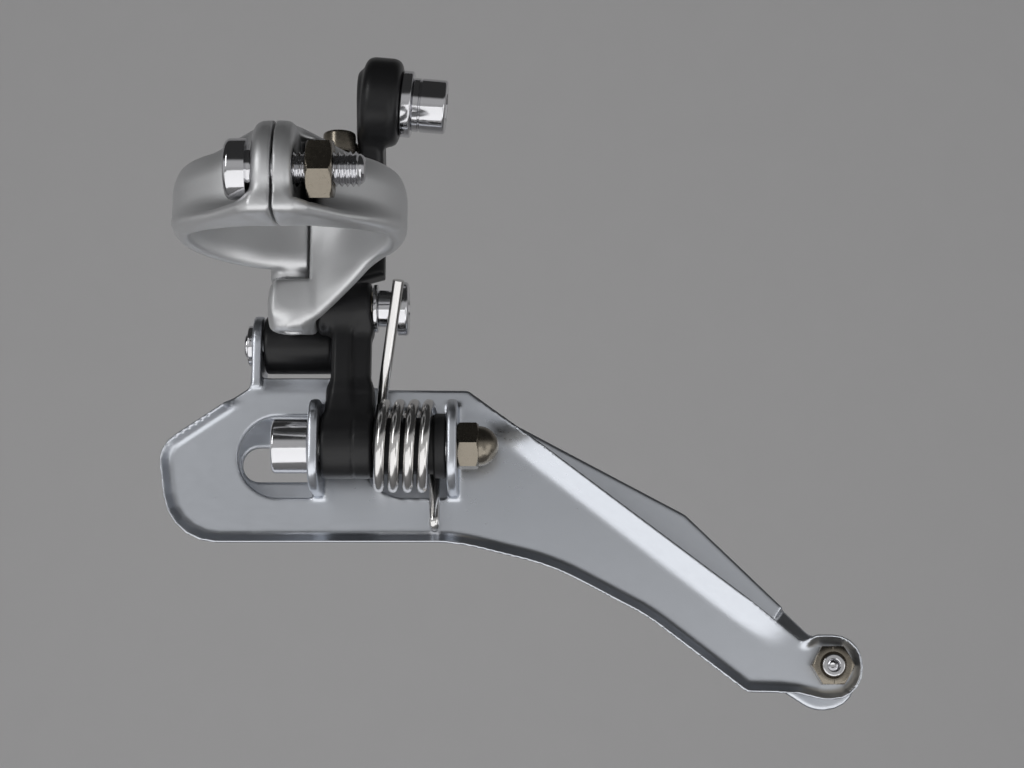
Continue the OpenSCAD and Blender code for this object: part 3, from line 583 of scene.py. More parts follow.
def rounded(corners: Sequence[Triple], steps: int = 5) -> list[Pair]:
    """An outline with round corners.

    Args:
        corners: Corners in order, each with its radius.
        steps: Points in each rounding, less one.

    Returns:
        The points of the outline.
    """
    points: list[Pair] = []
    for k, (cx, cy, radius) in enumerate(corners):
        here = Vector((cx, cy))
        e = (Vector(corners[k - 1][:2]) - here).normalized()
        f = (Vector(corners[(k + 1) % len(corners)][:2]) - here).normalized()
        half = e.angle(f) / 2
        middle = here + (e + f).normalized() * radius / math.sin(half)
        start = here + e * radius / math.tan(half) - middle
        turn = start.angle_signed(here + f * radius / math.tan(half) - middle)
        base = math.atan2(start.y, start.x)
        points += [(middle.x + radius * math.cos(base - turn * j / steps),
                    middle.y + radius * math.sin(base - turn * j / steps)) for j in range(steps + 1)]
    return points


def ease(u: Array, low: float, high: float) -> Array:
    """A smooth step from 0 at low to 1 at high."""
    t = np.clip((u - low) / (high - low), 0.0, 1.0)
    return t * t * (3 - 2 * t)


CELL_EDGES = [(a, b) for a in np.ndindex(2, 2, 2) for b in np.ndindex(2, 2, 2)
              if sum(b) - sum(a) == 1 and sum(abs(i - j) for i, j in zip(a, b)) == 1]


def skin(name: str, form: Field, low: Triple, high: Triple, cell: float) -> Piece:
    """The surface of a form as an even mesh of quads, whose points lie on the form.

    Args:
        name: Name of the object.
        form: Distances to the form, negative inside, in millimetres.
        low, high: Corners of a box round the form.
        cell: Size of the mesh's cells.

    Returns:
        The new object.
    """
    axes = [np.arange(a - 2 * cell, b + 3 * cell, cell) for a, b in zip(low, high)]
    grid = np.broadcast_to(form(axes[0][:, None, None], axes[1][None, :, None], axes[2][None, None, :]),
                           [len(a) for a in axes])
    inside = grid < 0
    parts = [inside[i:inside.shape[0] - 1 + i, j:inside.shape[1] - 1 + j, k:inside.shape[2] - 1 + k]
             for i, j, k in np.ndindex(2, 2, 2)]
    count = sum(part.astype(np.int8) for part in parts)
    cells = np.argwhere((count > 0) & (count < 8))
    number = np.full(count.shape, -1, np.int64)
    number[tuple(cells.T)] = np.arange(len(cells))
    total, hits = np.zeros((len(cells), 3)), np.zeros(len(cells))
    for a, b in CELL_EDGES:
        da, db = grid[tuple((cells + a).T)], grid[tuple((cells + b).T)]
        crossed = (da < 0) != (db < 0)
        t = np.where(crossed, da / np.where(crossed, da - db, 1.0), 0.0)
        total += np.where(crossed[:, None], np.array(a) + t[:, None] * (np.array(b) - np.array(a)), 0.0)
        hits += crossed
    points = (cells + total / hits[:, None]) * cell + [a[0] for a in axes]
    quads = []
    for way in range(3):
        side, other = np.eye(3, dtype=int)[(way + 1) % 3], np.eye(3, dtype=int)[(way + 2) % 3]
        ends = [slice(1, -1)] * 3
        ends[way] = slice(0, -1)
        nexts = list(ends)
        nexts[way] = slice(1, None)
        here, there = inside[tuple(ends)], inside[tuple(nexts)]
        for flip, crossed in ((False, here & ~there), (True, there & ~here)):
            at = np.argwhere(crossed) + side + other
            corners = [number[tuple((at - a).T)] for a in (side + other, other, 0 * side, side)]
            quads.append(np.stack(corners[::-1] if flip else corners, 1))
    points = press(points, form, cell)
    mesh = bpy.data.meshes.new(name)
    mesh.from_pydata((points * MM).tolist(), [], np.concatenate(quads).tolist())
    mesh.shade_smooth()
    return add_object(name, mesh)


def press(points: Array, form: Field, cell: float) -> Array:
    """Moves points onto the surface of a form.

    Args:
        points: Points near the surface, in millimetres.
        form: Distances to the form.
        cell: Size of the mesh's cells, which limits the moves.

    Returns:
        The moved points.
    """
    small = cell * 0.2
    for _ in range(3):
        at = form(*points.T)
        slope = np.stack([(form(*(points + small * axis).T) - at) / small for axis in np.eye(3)], 1)
        steep = np.maximum((slope ** 2).sum(1), 0.25)
        points = points - slope * np.clip(at / steep, -cell / 2, cell / 2)[:, None]
    return points


@dataclass
class Clamp:
    """The hinged band clamp with its hinge pin, bolt and nut.

    Args:
        cell: Size of the castings' mesh in millimetres.
        bore_r: Radius of the bore.
        band_r: Outer radius of the band.
        half_h: Half the height of the band.
        ear_x: Outer side of an ear.
        ear_mid: Middle of the ears' rounded outline, along Y and Z.
        ear_r: Radius of that outline.
        ear_lift: Rise of the band's upper edge towards the ears.
        ledge_z: Top of the ledge under the bolt head and the nut.
        split: Half the gap between the ears.
        bolt: Place of the bolt's axis, along Y and Z.
        bolt_hole_r: Radius of its hole in the body's ear.
        strap_end: End of the strap on the far side.
        knuckle_r: Radius of the hinge knuckle.
        lug_z: Bottom of the hinge lug.
        sweep: Plan of the ledge, from the ear back to the band.
        wall: Outline of the wall under the band, seen from the front.
        arm: Outline of the arm's upper part, along Y and Z.
        boss_x: Ends of the pivot boss along X.
        arm_x: Sides of the arm along X.
        limit_x: Place of the limit screws along X.
        limit_y: Their places along Y.
        side_lift: Rise of the band's lower edge at its sides.
        back_lift: Rise of the lower edge at the far side.
        pin_r: Radius of the hinge pin.
        head_r: Radius of the bolt head.
        head_h: Height of the bolt head.
        thread_r: Radius of the bolt's thread.
        pitch: Thread pitch of the clamp bolt.
        nut_af: Width across the flats of the nut.
        nut_turn: Angle of the nut's front corner below the level.
    """

    cell: float = 0.28
    bore_r: float = 14.3
    band_r: float = 17.7
    half_h: float = 6.2
    ear_x: float = 3.1
    ear_mid: Pair = (-18.1, 0.9)
    ear_r: float = 8.0
    ear_lift: float = 2.3
    ledge_z: float = -3.8
    split: float = 0.2
    bolt: Pair = (-22.1, 0.9)
    bolt_hole_r: float = 2.85
    strap_end: float = 1.1
    knuckle_r: float = 3.4
    lug_z: float = -14.2
    sweep: Pairs = ((0.0, -25.6), (3.1, -25.4), (5.0, -24.0), (8.0, -20.5), (11.0, -17.3),
                    (13.4, -14.3), (15.6, -10.0), (16.4, -6.0), (0.0, -6.0))
    wall: Pairs = ((-1.7, -14.0), (0.4, -14.0), (3.2, -12.4), (14.6, -2.3), (16.6, -0.3), (16.6, 1.0),
                   (-1.7, 1.0))
    arm: Pairs = ((20.9, 0.5), (20.9, 15.2), (32.3, 15.2), (35.4, 13.2), (35.4, 9.2))
    boss_x: Pair = (-4.0, 1.9)
    arm_x: Pair = (2.4, 7.9)
    limit_x: float = 5.15
    limit_y: Pair = (23.7, 29.7)
    side_lift: float = 1.8
    back_lift: float = 0.8
    pin_r: float = 1.5
    head_r: float = 4.35
    head_h: float = 3.7
    thread_r: float = 2.5
    pitch: float = 0.8
    nut_af: float = 8.0
    nut_turn: float = math.radians(15.0)

    def build(self) -> None:
        """Builds the castings, the hinge pin, the bolt and the nut."""
        body = skin("clamp_body_cast", self.body_form, (-5.3, -26.4, -14.4), (18.4, 39.6, 15.4), self.cell)
        # Paints shade into the deep slot between the ear and the nut, darkening its colour
        paint_shade(body, self.pocket)
        settle(body, "clamp_base", CLAMP_METAL, "clamp_body")
        strap = skin("clamp_strap_cast", self.strap_form, (-18.7, -26.4, -6.4), (2.0, 22.6, 9.2), self.cell)
        settle(strap, "strap", CLAMP_METAL, "clamp_strap")
        self._fasteners()

    def _half(self, x: Array, y: Array, z: Array, side: int) -> Array:
        """The band with the ear and the scooped ledge of one half.

        Args:
            x, y, z: Places along the axes.
            side: 1 for the body's half, -1 for the strap's.

        Returns:
            Distances to the form.
        """
        across = side * x
        r = np.hypot(x, y)
        top = self.half_h + self.ear_lift * ease(-y, 6.0, 13.0) * ease(-np.abs(x), -10.5, -3.5)
        crown = 1.3 * np.clip((z - top) / 4.2 + 1, 0, None) ** 2 + 0.7 * np.clip((-4.0 - z) / 2.2, 0, None) ** 2
        band = common(r - self.band_r + crown, np.maximum(z - top, -self.half_h - z), 1.2)
        band = common(band, self.bore_r - r, 0.9)
        ear = common(across - self.ear_x, disc(y, z, self.ear_mid, self.ear_r), 2.0)
        ear = np.maximum(np.maximum(ear, y + self.bore_r - 1.0), -across - 1.0)
        ledge = common(area(across, y, self.sweep), span(z, -self.half_h, self.ledge_z), 1.5)
        form = join(join(band, ledge, 3.4), ear, 2.4)
        if side > 0:
            slot = np.maximum(span(across, self.ear_x, self.ear_x + 1.9), y + self.bore_r + 1.1)
            form = without(form, np.maximum(slot, span(z, self.ledge_z, 7.0)), 0.5)
        back = y / self.band_r
        lower = self.side_lift * (1 - back ** 2) + self.back_lift * np.clip(back, 0, None) ** 2 - self.half_h
        return common(form, lower - z, 3.0)

    def pocket(self, x: Array, y: Array, z: Array) -> Array:
        """Share of painted shade at each place: the slot between the ear and the nut is painted dark as shade."""
        inner = ease(x, self.ear_x - 0.25, self.ear_x + 0.2) * ease(-x, -7.0, -5.4) * ease(-y, 14.6, 15.2)
        return inner * ease(z, self.ledge_z - 0.4, self.ledge_z + 0.6) * ease(-z, -7.4, -6.6)

    def body_form(self, x: Array, y: Array, z: Array) -> Array:
        """The fixed casting: half the band, the wall to the hinge lug, the pivot boss, the arm and the turret.

        Args:
            x, y, z: Places along the axes.

        Returns:
            Distances to the form.
        """
        r = np.hypot(x, y)
        under = -self.half_h - 0.2
        form = common(self._half(x, y, z, 1), self.split - x, 0.2)
        shell = np.maximum(self.bore_r - r, r - self.band_r - 0.4)
        wall = np.maximum(common(shell, area(x, z, self.wall), 2.2), -y)
        lug = common(disc(x, y, HINGE, self.knuckle_r), span(z, self.lug_z, under), 1.6)
        block = common(span(x, HINGE[0] - self.knuckle_r, HINGE[0] + self.knuckle_r),
                       span(y, self.bore_r - 0.3, HINGE[1]), 2.2)
        block = common(block, span(z, self.lug_z + 0.4, under), 3.6)
        form = join(form, join(wall, join(lug, block, 1.6), 1.0), 1.0)
        boss = common(bar(y, z, PIVOT_A, 4.2, (16.3, PIVOT_A[1]), 3.4), span(x, *self.boss_x), 1.0)
        arm = join(bar(y, z, (18.3, 1.2), 4.6, PIVOT_B, 4.0), area(y, z, self.arm), 1.0)
        arm = common(arm, span(x, *self.arm_x), 0.9)
        form = join(form, join(boss, arm, 1.0), 1.2)
        form = without(form, disc(x, y, (0.0, 0.0), self.bore_r), 0.7)
        form = without(form, np.maximum(disc(x, y, HINGE, 3.8), under - z))
        room = np.maximum(np.maximum(x - self.strap_end - 0.4, span(y, 0.0, HINGE[1])), under - z)
        form = without(form, room)
        form = without(form, disc(x, y, HINGE, self.pin_r + FIXED_FIT))
        form = without(form, disc(y, z, self.bolt, self.bolt_hole_r), 0.5)
        form = without(form, disc(y, z, PIVOT_A, PIN_R + FIXED_FIT))
        form = without(form, disc(y, z, PIVOT_B, PIN_R + TURNING_FIT))
        for place in self.limit_y:
            form = without(form, np.maximum(disc(x, y, (self.limit_x, place), LIMIT_R + TURNING_FIT), -4.5 - z))
        return form

    def strap_form(self, x: Array, y: Array, z: Array) -> Array:
        """The swinging casting: the other half of the band and the hinge knuckle.

        Args:
            x, y, z: Places along the axes.

        Returns:
            Distances to the form.
        """
        end = x + self.split - (self.strap_end + self.split) * ease(y, -1.0, 1.0)
        form = common(self._half(x, y, z, -1), end, 0.2)
        knuckle = common(disc(x, y, HINGE, self.knuckle_r), np.abs(z) - self.half_h, 0.7)
        form = join(form, knuckle, 1.0)
        form = without(form, disc(x, y, (0.0, 0.0), self.bore_r), 0.7)
        form = without(form, disc(x, y, HINGE, self.pin_r + TURNING_FIT))
        return without(form, disc(y, z, self.bolt, self.thread_r + FIXED_FIT), 0.5)

    def _fasteners(self) -> None:
        """Builds the domed hinge pin, the socket bolt with its thread, and the nut with a corner to the front."""
        top = length("clamp_hinge_pin", 2)
        turn_node("clamp_hinge_pin", "turned", "clamp_base", CHROME, [
            (0.0, 0.0), *round_edge(0.0, self.pin_r, 0.3, 1), (top - 1.0, self.pin_r), (top - 1.0, 2.3),
            (top - 0.85, 2.5), (top - 0.5, 2.45), (top - 0.25, 2.0), (top - 0.08, 1.3), (top, 0.0)], 2, X_AXIS, 64)
        whole, head, r, shank = length("clamp_bolt"), self.head_h, self.head_r, self.thread_r
        socket = hexagon(KEY_AF)
        turn_node("clamp_bolt", "turned", "strap", CHROME, [
            (2.2, 0.0), (1.9, socket), (0.25, socket), (0.0, hexagon(KEY_AF + 0.3)), *round_edge(0.0, r, 0.9, 1, 8),
            (head - 0.6, r), (head - 0.55, r - 1.4), (head, r - 1.4), (head, shank), (head + 5.0, shank),
            *thread(head + 5.1, whole - 0.5, shank, self.pitch, 0.42), (whole - 0.1, shank - 0.75),
            (whole, shank - 1.0), (whole, 0.0)], segments=72)
        height, bore = length("clamp_nut"), self.thread_r + LOOSE_GAP
        corner = Vector((0.0, -math.cos(self.nut_turn), -math.sin(self.nut_turn)))
        turn_node("clamp_nut", "hex", "strap_nut", NICKEL_BRASS, [
            (0.4, bore), (0.0, bore + 0.4), *hex_sides(height, self.nut_af), (height, bore + 0.4),
            (height - 0.4, bore)], first=corner)


@dataclass
class Linkage:
    """The two links, their pins, clips and washer, and the limit screws.

    Args:
        cell: Size of the links' mesh in millimetres.
        lean_deg: Lean of the links at rest.
        web: Outline of the outer link's web in its own plane.
        anchor_x: Place of the anchor disc's front along X.
        anchor_r: Radius of the anchor disc.
        anchor_t: Thickness of the anchor disc.
        arm_x: Sides of the cable arm.
        ear_x: Sides of the outer link's ear.
        ear_r: Radius of the ear and of the arm's root.
        foot_r: Radius of the outer link's lower barrel.
        foot_x: Ends of that barrel.
        eye_r: Radius of the inner link's upper eye.
        eye_x: Ends of the eye.
        barrel_r: Radius of the inner link's lower barrel.
        barrel_x: Ends of that barrel.
        groove_x: Sides of the groove round it.
        web_x: Sides of the inner link's web.
        rib_x: Sides of the rib on the web.
        bushes: Outer radii of the upper and the lower bushes.
        pin_head_r: Radius of the outer pins' heads.
        limit_head_r: Radius of the limit screws' heads.
        limit_head_h: Height of their heads.
        limit_pitch: Thread pitch of the limit screws.
    """

    cell: float = 0.25
    lean_deg: float = 6.0
    web: Pairs = ((-6.3, 0.0), (4.0, 0.0), (4.0, 9.66), (12.25, 12.06), (12.25, 23.0), (8.15, 23.0),
                  (8.15, 14.8), (2.15, 14.8), (2.15, 23.0), (-2.45, 23.0), (-2.45, 9.66), (-6.3, 6.66))
    anchor_x: float = 8.936
    anchor_r: float = 7.3
    anchor_t: float = 6.3
    arm_x: Pair = (8.15, 12.25)
    ear_x: Pair = (-2.45, 2.15)
    ear_r: float = 4.0
    foot_r: float = 4.7
    foot_x: Pair = (-7.3, 4.0)
    eye_r: float = 4.3
    eye_x: Pair = (2.15, 10.85)
    barrel_r: float = 5.2
    barrel_x: Pair = (3.25, 11.4)
    groove_x: Pair = (8.2, 8.5)
    web_x: Pair = (4.65, 10.85)
    rib_x: Pair = (4.65, 7.9)
    bushes: Pair = (2.8, 3.3)
    pin_head_r: float = 2.9
    limit_head_r: float = 2.7
    limit_head_h: float = 3.4
    limit_pitch: float = 0.5

    def build(self) -> None:
        """Builds the links, their pivots and the limit screws."""
        inner = skin("inner_link_forged", self.inner_form, (1.5, 16.6, -37.5), (11.6, 28.9, -4.7), self.cell)
        settle(inner, "inner_arm", BLACK_ALLOY, "inner_link")
        outer = skin("outer_link_forged", self.outer_form, (-7.5, 17.0, -18.9), (15.9, 39.7, 34.2), self.cell)
        settle(outer, "outer_arm", BLACK_ALLOY, "outer_link")
        self._pins()
        for node in ("low_limit_screw", "high_limit_screw"):
            self._limit_screw(node)

    def inner_form(self, x: Array, y: Array, z: Array) -> Array:
        """The inner link: an upper eye, a web with a rib and a lower barrel.

        Args:
            x, y, z: Places along the axes.

        Returns:
            Distances to the form.
        """
        low = (PIVOT_C[0] + (PIVOT_A[0] - PIVOT_C[0]) * 0.35, PIVOT_C[1] + (PIVOT_A[1] - PIVOT_C[1]) * 0.35)
        eye = common(disc(y, z, PIVOT_A, self.eye_r), span(x, *self.eye_x), 0.9)
        barrel = common(disc(y, z, PIVOT_C, self.barrel_r), span(x, *self.barrel_x), 0.7)
        groove = np.maximum(span(x, *self.groove_x), -disc(y, z, PIVOT_C, self.barrel_r - 0.2))
        barrel = without(barrel, groove, 0.2)
        web = common(bar(y, z, PIVOT_A, 1.9, PIVOT_C, 1.9), span(x, *self.web_x), 0.9)
        rib = common(bar(y, z, PIVOT_A, 2.9, PIVOT_C, 2.7), span(x, *self.rib_x), 0.9)
        shoulder = common(bar(y, z, low, 2.0, PIVOT_C, 4.6), span(x, 3.85, 11.2), 1.4)
        form = join(join(web, rib, 0.7), join(eye, join(barrel, shoulder, 0.8), 0.4), 1.6)
        form = without(form, disc(y, z, PIVOT_A, self.bushes[0] + FIXED_FIT))
        return without(form, disc(y, z, PIVOT_C, self.bushes[1] + FIXED_FIT))

    def outer_form(self, x: Array, y: Array, z: Array) -> Array:
        """The outer link: a lower barrel, a forked web and the cable arm with its tilted anchor end.

        Args:
            x, y, z: Places along the axes.

        Returns:
            Distances to the form.
        """
        lean, tilt = math.radians(self.lean_deg), math.radians(ANCHOR_TILT)
        dy, dz = y - PIVOT_D[0], z - PIVOT_D[1]
        along, thick = dy * math.sin(lean) + dz * math.cos(lean), dy * math.cos(lean) - dz * math.sin(lean)
        barrel = common(disc(y, z, PIVOT_D, self.foot_r), span(x, *self.foot_x), 0.7)
        web = common(area(x, along, self.web), span(thick, -2.2, 2.2), 1.2)
        ear = common(disc(y, z, PIVOT_B, self.ear_r), span(x, *self.ear_x), 0.7)
        arm = common(bar(y, z, PIVOT_B, self.ear_r, ANCHOR, 5.0), span(x, *self.arm_x), 1.2)
        ax, az = x - self.anchor_x, z - ANCHOR[1]
        axial = ax * math.cos(tilt) - az * math.sin(tilt)
        radial = np.hypot(ax * math.sin(tilt) + az * math.cos(tilt), y - ANCHOR[0])
        end = common(radial - self.anchor_r, span(axial, 0.0, self.anchor_t), 2.0)
        form = join(join(barrel, web, 1.6), join(ear, join(arm, end, 1.2), 1.2), 1.2)
        form = without(form, disc(y, z, PIVOT_B, PIN_R + FIXED_FIT))
        form = without(form, disc(y, z, PIVOT_D, PIN_R + TURNING_FIT))
        return without(form, radial - CABLE_R - TURNING_FIT)

    def _pins(self) -> None:
        """Builds the upper inner pin with its shoulder and broad head, the outer pins, and the washer and clips."""
        r, whole = PIN_R, length("upper_inner_pin")
        head, shoulder = whole - 1.9, whole - 4.9
        turn_node("upper_inner_pin", "turned", "clamp_base", CHROME, [
            (0.0, 0.0), *round_edge(0.0, r, 0.3, 1), (shoulder, r), (shoulder, r + 0.85), (shoulder + 0.15, r + 1.0),
            (head, r + 1.0), (head, 4.1), (head + 0.25, 4.4), *reversed(round_edge(whole, 4.4, 0.55, -1)),
            (whole, 1.8), (whole - 0.25, 1.5), (whole - 0.9, 1.4), (whole - 0.9, 0.0)])
        wide = self.pin_head_r
        for node, body, dome in (("upper_outer_pin", "outer_arm", 1.1), ("lower_outer_pin", "cage", 0.9)):
            whole = length(node)
            head = whole - dome
            turn_node(node, "turned", body, CHROME, [
                (0.0, 0.0), *round_edge(0.0, r, 0.45, 1), (head, r), (head, wide - 0.2), (head + 0.2, wide),
                (whole - 0.4, wide - 0.1), (whole - 0.15, wide - 0.7), (whole - 0.03, wide - 1.5), (whole, 0.0)],
                segments=64)
        for node, body, gap, outer in (("upper_pin_washer", "clamp_base", LOOSE_GAP, 3.9),
                                       ("upper_outer_clip", "outer_arm", TIGHT_GAP, 3.2),
                                       ("lower_outer_clip", "cage", TIGHT_GAP, 3.4)):
            thick = length(node)
            turn_node(node, "ring", body, CHROME, ring(r + gap, outer, thick, min(0.25, thick * 0.3)), segments=72)

    def _limit_screw(self, node: str) -> None:
        """Builds a limit screw: a round slotted head on a long thread.

        Args:
            node: CAD node of the screw.
        """
        low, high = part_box(node)
        middle, whole = centre(node), length(node, 2)
        head, r, wide = whole - self.limit_head_h, LIMIT_R, self.limit_head_r
        screw = turned(node + "_turned", Vector((middle.x, middle.y, low.z)), Z_AXIS, X_AXIS, [
            (0.0, 0.0), (0.0, r - 0.6), (0.35, r - 0.28), *thread(0.5, head - 0.1, r, self.limit_pitch, 0.27, 6),
            (head, r), (head, wide - 0.3), (head + 0.3, wide), *reversed(round_edge(whole, wide, 0.5, -1)),
            (whole, 0.0)], 48)
        screw = cut_slot(screw, Vector((middle.x, middle.y, high.z)), (2 * wide + 1, 0.8, 2.4))
        settle(screw, node.replace("_limit", ""), NICKEL_BRASS, node)


def cut_slot(piece: Piece, top: Vector, size: Triple) -> Piece:
    """Cuts a screwdriver slot along X into the top of a screw head.

    Args:
        piece: The screw.
        top: Middle of the head's top, in metres.
        size: Length, width and twice the depth of the slot in millimetres.

    Returns:
        The slotted screw as a plain mesh object.
    """
    bm = bmesh.new()
    bmesh.ops.create_cube(bm, size=1.0)
    for vert in bm.verts:
        vert.co = top + vert.co * Vector(size) * MM
    tool = from_bmesh("slot_tool", bm)
    cut = piece.modifiers.new("slot", "BOOLEAN")
    cut.operation = "DIFFERENCE"
    cut.solver = "EXACT"
    cut.object = tool
    piece = freeze(piece)
    bpy.data.objects.remove(tool)
    piece.data.set_sharp_from_angle(angle=math.radians(SHARP_DEG))
    return piece


@dataclass
class CableAnchor:
    """The cable washer and the cable bolt on the tilted anchor axis.

    Args:
        washer_r: Radius of the washer.
        washer_t: Thickness of the washer.
        head_r: Radius of the bolt head.
        head_h: Height of the bolt head.
        reach: Length of the bolt below the washer.
    """

    washer_r: float = 5.5
    washer_t: float = 1.85
    head_r: float = 4.45
    head_h: float = 5.6
    reach: float = 7.25

    def build(self) -> None:
        """Builds the washer and the bolt."""
        tilt = math.radians(ANCHOR_TILT)
        axis = Vector((math.cos(tilt), 0, -math.sin(tilt)))
        t, r, shank = self.washer_t, self.head_r, CABLE_R - 0.1
        top, end, socket = t + self.head_h, -self.reach, hexagon(KEY_AF)
        seat = centre("cable_washer") - axis * t / 2 * MM
        washer = turned("cable_washer_ring", seat, axis, Z_AXIS, ring(CABLE_R + LOOSE_GAP, self.washer_r, t, 0.35))
        settle(washer, "cable_clamp", CHROME, "cable_washer")
        bolt = turned("cable_bolt_turned", seat, axis, Z_AXIS, [
            (end, 0.0), *round_edge(end, shank, 0.5, 1), (t, shank), (t, r - 0.25), (t + 0.25, r), (t + 1.1, r),
            (t + 1.2, r - 0.18), (t + 1.4, r - 0.18), (t + 1.5, r), *reversed(round_edge(top, r, 0.45, -1)),
            (top, hexagon(KEY_AF + 0.4)), (top - 0.25, socket), (top - 2.4, socket), (top - 2.6, 0.0)])
        settle(bolt, "cable_clamp", CHROME, "cable_bolt")


@dataclass
class Cage:
    """The pressed cage plates with their rivets, spacer, screw and nut.

    Args:
        cell: Size of the plates' mesh in millimetres.
        thick: Thickness of the sheet.
        near_y: Near face of the inner plate.
        far_y: Near face of the outer plate.
        bridge_z: Top of the bridge.
        bridge_x: Ends of the bridge.
        flange_h: Height of the flange behind the bridge.
        belly_z: Bottom of the cage.
        tail: Tail screw as X and Z.
        lip: Height of the lip along the belly and the nose.
        lip_slope: Rise of the lip's inner face.
        lip_w: Width of the lip seen from the front.
        crease: Start of the bent strip's crease as X and Z.
        crease_way: Direction of the crease.
        strip_deg: Tilt of the bent strip.
        cut_outs: Round and straight end of each cut-out along X.
        cut_half: Half the height of a cut-out.
        tab_t: Thickness of the tabs.
        axle_tabs: Front faces of the axle's tabs along X.
        axle_tab_r: Radius of those tabs.
        pin_tabs: Front faces of the outer pin's tabs along X.
        pin_tab_r: Radius of those tabs.
        slot_x: Middles of the outer plate's opening's ends.
        slot_r: Half the height of the opening.
        rivet_x: Places of the rivets along X.
        rivet_drop: Depth of the rivets below the bridge's top.
        rivet_r: Radius of the rivets.
        rivet_head_r: Radius of their heads.
        rivet_dome: Height of their heads.
        screw_r: Radius of the tail screw.
        nut_af: Width across the flats of the tail nut.
    """

    cell: float = 0.34
    thick: float = 1.4
    near_y: float = 28.396
    far_y: float = 39.996
    bridge_z: float = -19.874
    bridge_x: Pair = (-9.15, 5.85)
    flange_h: float = 5.2
    belly_z: float = -46.974
    tail: Pair = (84.5, -66.574)
    lip: float = 3.0
    lip_slope: float = 1.15
    lip_w: float = 1.5
    crease: Pair = (21.2, -21.874)
    crease_way: Pair = (0.7936, -0.6084)
    strip_deg: float = 35.0
    cut_outs: tuple[Pair, Pair] = ((-11.0, 1.4), (9.45, 23.24))
    cut_half: float = 6.7
    tab_t: float = 1.6
    axle_tabs: Pair = (1.4, 23.24)
    axle_tab_r: float = 7.5
    pin_tabs: Pair = (-9.15, 4.25)
    pin_tab_r: float = 4.9
    slot_x: Pair = (-8.85, 5.6)
    slot_r: float = 2.9
    rivet_x: Pair = (-6.15, 2.85)
    rivet_drop: float = 3.3
    rivet_r: float = 1.0
    rivet_head_r: float = 1.6
    rivet_dome: float = 0.7
    screw_r: float = 1.8
    nut_af: float = 6.0

    def build(self) -> None:
        """Builds the plates and what holds them together."""
        inner = skin("cage_inner_plate_pressed", self.inner_form, (-23.6, 15.6, -72.6), (90.4, 40.2, -8.6), self.cell)
        settle(inner, "cage", CAGE_STEEL, "cage_inner_plate")
        outer = skin("cage_outer_plate_pressed", self.outer_form, (-20.8, 39.8, -73.7), (91.2, 45.6, -20.6), self.cell)
        settle(outer, "cage", CAGE_STEEL, "cage_outer_plate")
        self._rivets()
        self._tail()

    def inner_form(self, x: Array, y: Array, z: Array) -> Array:
        """The inner pressing: a dished plate with a bent strip, axle tabs, the bridge and its tabs.

        Args:
            x, y, z: Places along the axes.

        Returns:
            Distances to the form.
        """
        tx, tz = self.tail
        top, belly, t = self.bridge_z, self.belly_z, self.thick
        edge = area(x, z, rounded([
            (-7.0, top, 3.0), (3.8, top, 2.0), (12.8, top - 2.0, 4.0), (26.4, top - 2.1, 1.5),
            (tx - 4.3, tz + 3.9, 1.2), (tx - 2.4, tz + 4.9, 1.6), (tx + 4.9, tz + 4.9, 4.6), (tx + 4.9, tz - 5.4, 4.9),
            (tx - 1.5, tz - 5.4, 3.0), (tx - 5.5, tz - 4.4, 3.0), (tx - 13.6, tz - 4.2, 2.0),
            (tx - 29.3, belly - 11.8, 30.0), (40.0, belly - 3.8, 40.0), (24.5, belly, 30.0), (-21.7, belly, 9.0),
            (-23.9, top - 11.4, 5.0)]))
        bare = area(x, z, [(-12.0, top + 4.0), (-12.0, top - 4.0), (20.0, top - 4.0), (tx - 5.8, tz + 1.5),
                           (tx - 2.6, tz + 10.0), (tx + 40.0, top + 4.0)])
        rim = ease(bare, -0.3, 1.6)
        beyond = -(x - self.crease[0]) * self.crease_way[1] + (z - self.crease[1]) * self.crease_way[0]
        along = (x - self.crease[0]) * self.crease_way[0] + (z - self.crease[1]) * self.crease_way[1]
        slope = math.tan(math.radians(self.strip_deg)) * ease(along, 3.0, 22.0) * (1 - ease(along, 59.0, 70.0))
        at_tail = ease(x, tx - 9.0, tx - 4.0)
        flare = edge + self.lip_w - 0.3 * at_tail
        rise = self.lip_slope * rim
        floor = self.near_y + slope * join(-beyond, 0.0 * beyond, 0.9) + rise * join(-flare, 0.0 * flare, 0.5)
        steep = 1 / np.sqrt(1 + (slope * ease(beyond, -0.5, 0.5)) ** 2 + (rise * ease(flare, -0.3, 0.3)) ** 2)
        depth = (y - floor) * steep
        sheet = t - (0.55 + 0.15 * at_tail) * rim * ease(flare, 0.0, 1.2)
        form = common(np.maximum(-depth, depth - sheet), edge, 0.35)
        form = common(form, self.near_y - (self.lip - 1.5 * at_tail) * rim - 4.0 * (1 - rim) - y, 0.3)
        near_bridge = ease(-np.abs(x + 1.6), -8.5, -6.5) * ease(z, top - 6.0, top - 4.0)
        roll = common(self.near_y - y, z - top, 3.0) - 20.0 * (1 - near_bridge)
        form = np.maximum(form, roll)
        for start, end in self.cut_outs:
            form = without(form, self._cut_out(x, z, start, end))
        for start in self.axle_tabs:
            form = join(form, self._axle_tab(x, y, z, start), 0.9)
        bridge = np.maximum(span(z, top - t, top), span(y, self.near_y + 0.8, self.far_y))
        flange = np.maximum(span(y, self.far_y - t, self.far_y), span(z, top - self.flange_h, top))
        form = join(form, common(join(bridge, flange, 1.0), span(x, *self.bridge_x), 0.5), 0.8)
        r = self.pin_tab_r
        tab = np.maximum(span(y, PIVOT_D[0] - r, PIVOT_D[0] + r), span(z, top - t, PIVOT_D[1]))
        tab = join(disc(y, z, PIVOT_D, r), tab, 0.2)
        for start in self.pin_tabs:
            form = join(form, common(tab, span(x, start, start + self.tab_t), 0.5), 0.8)
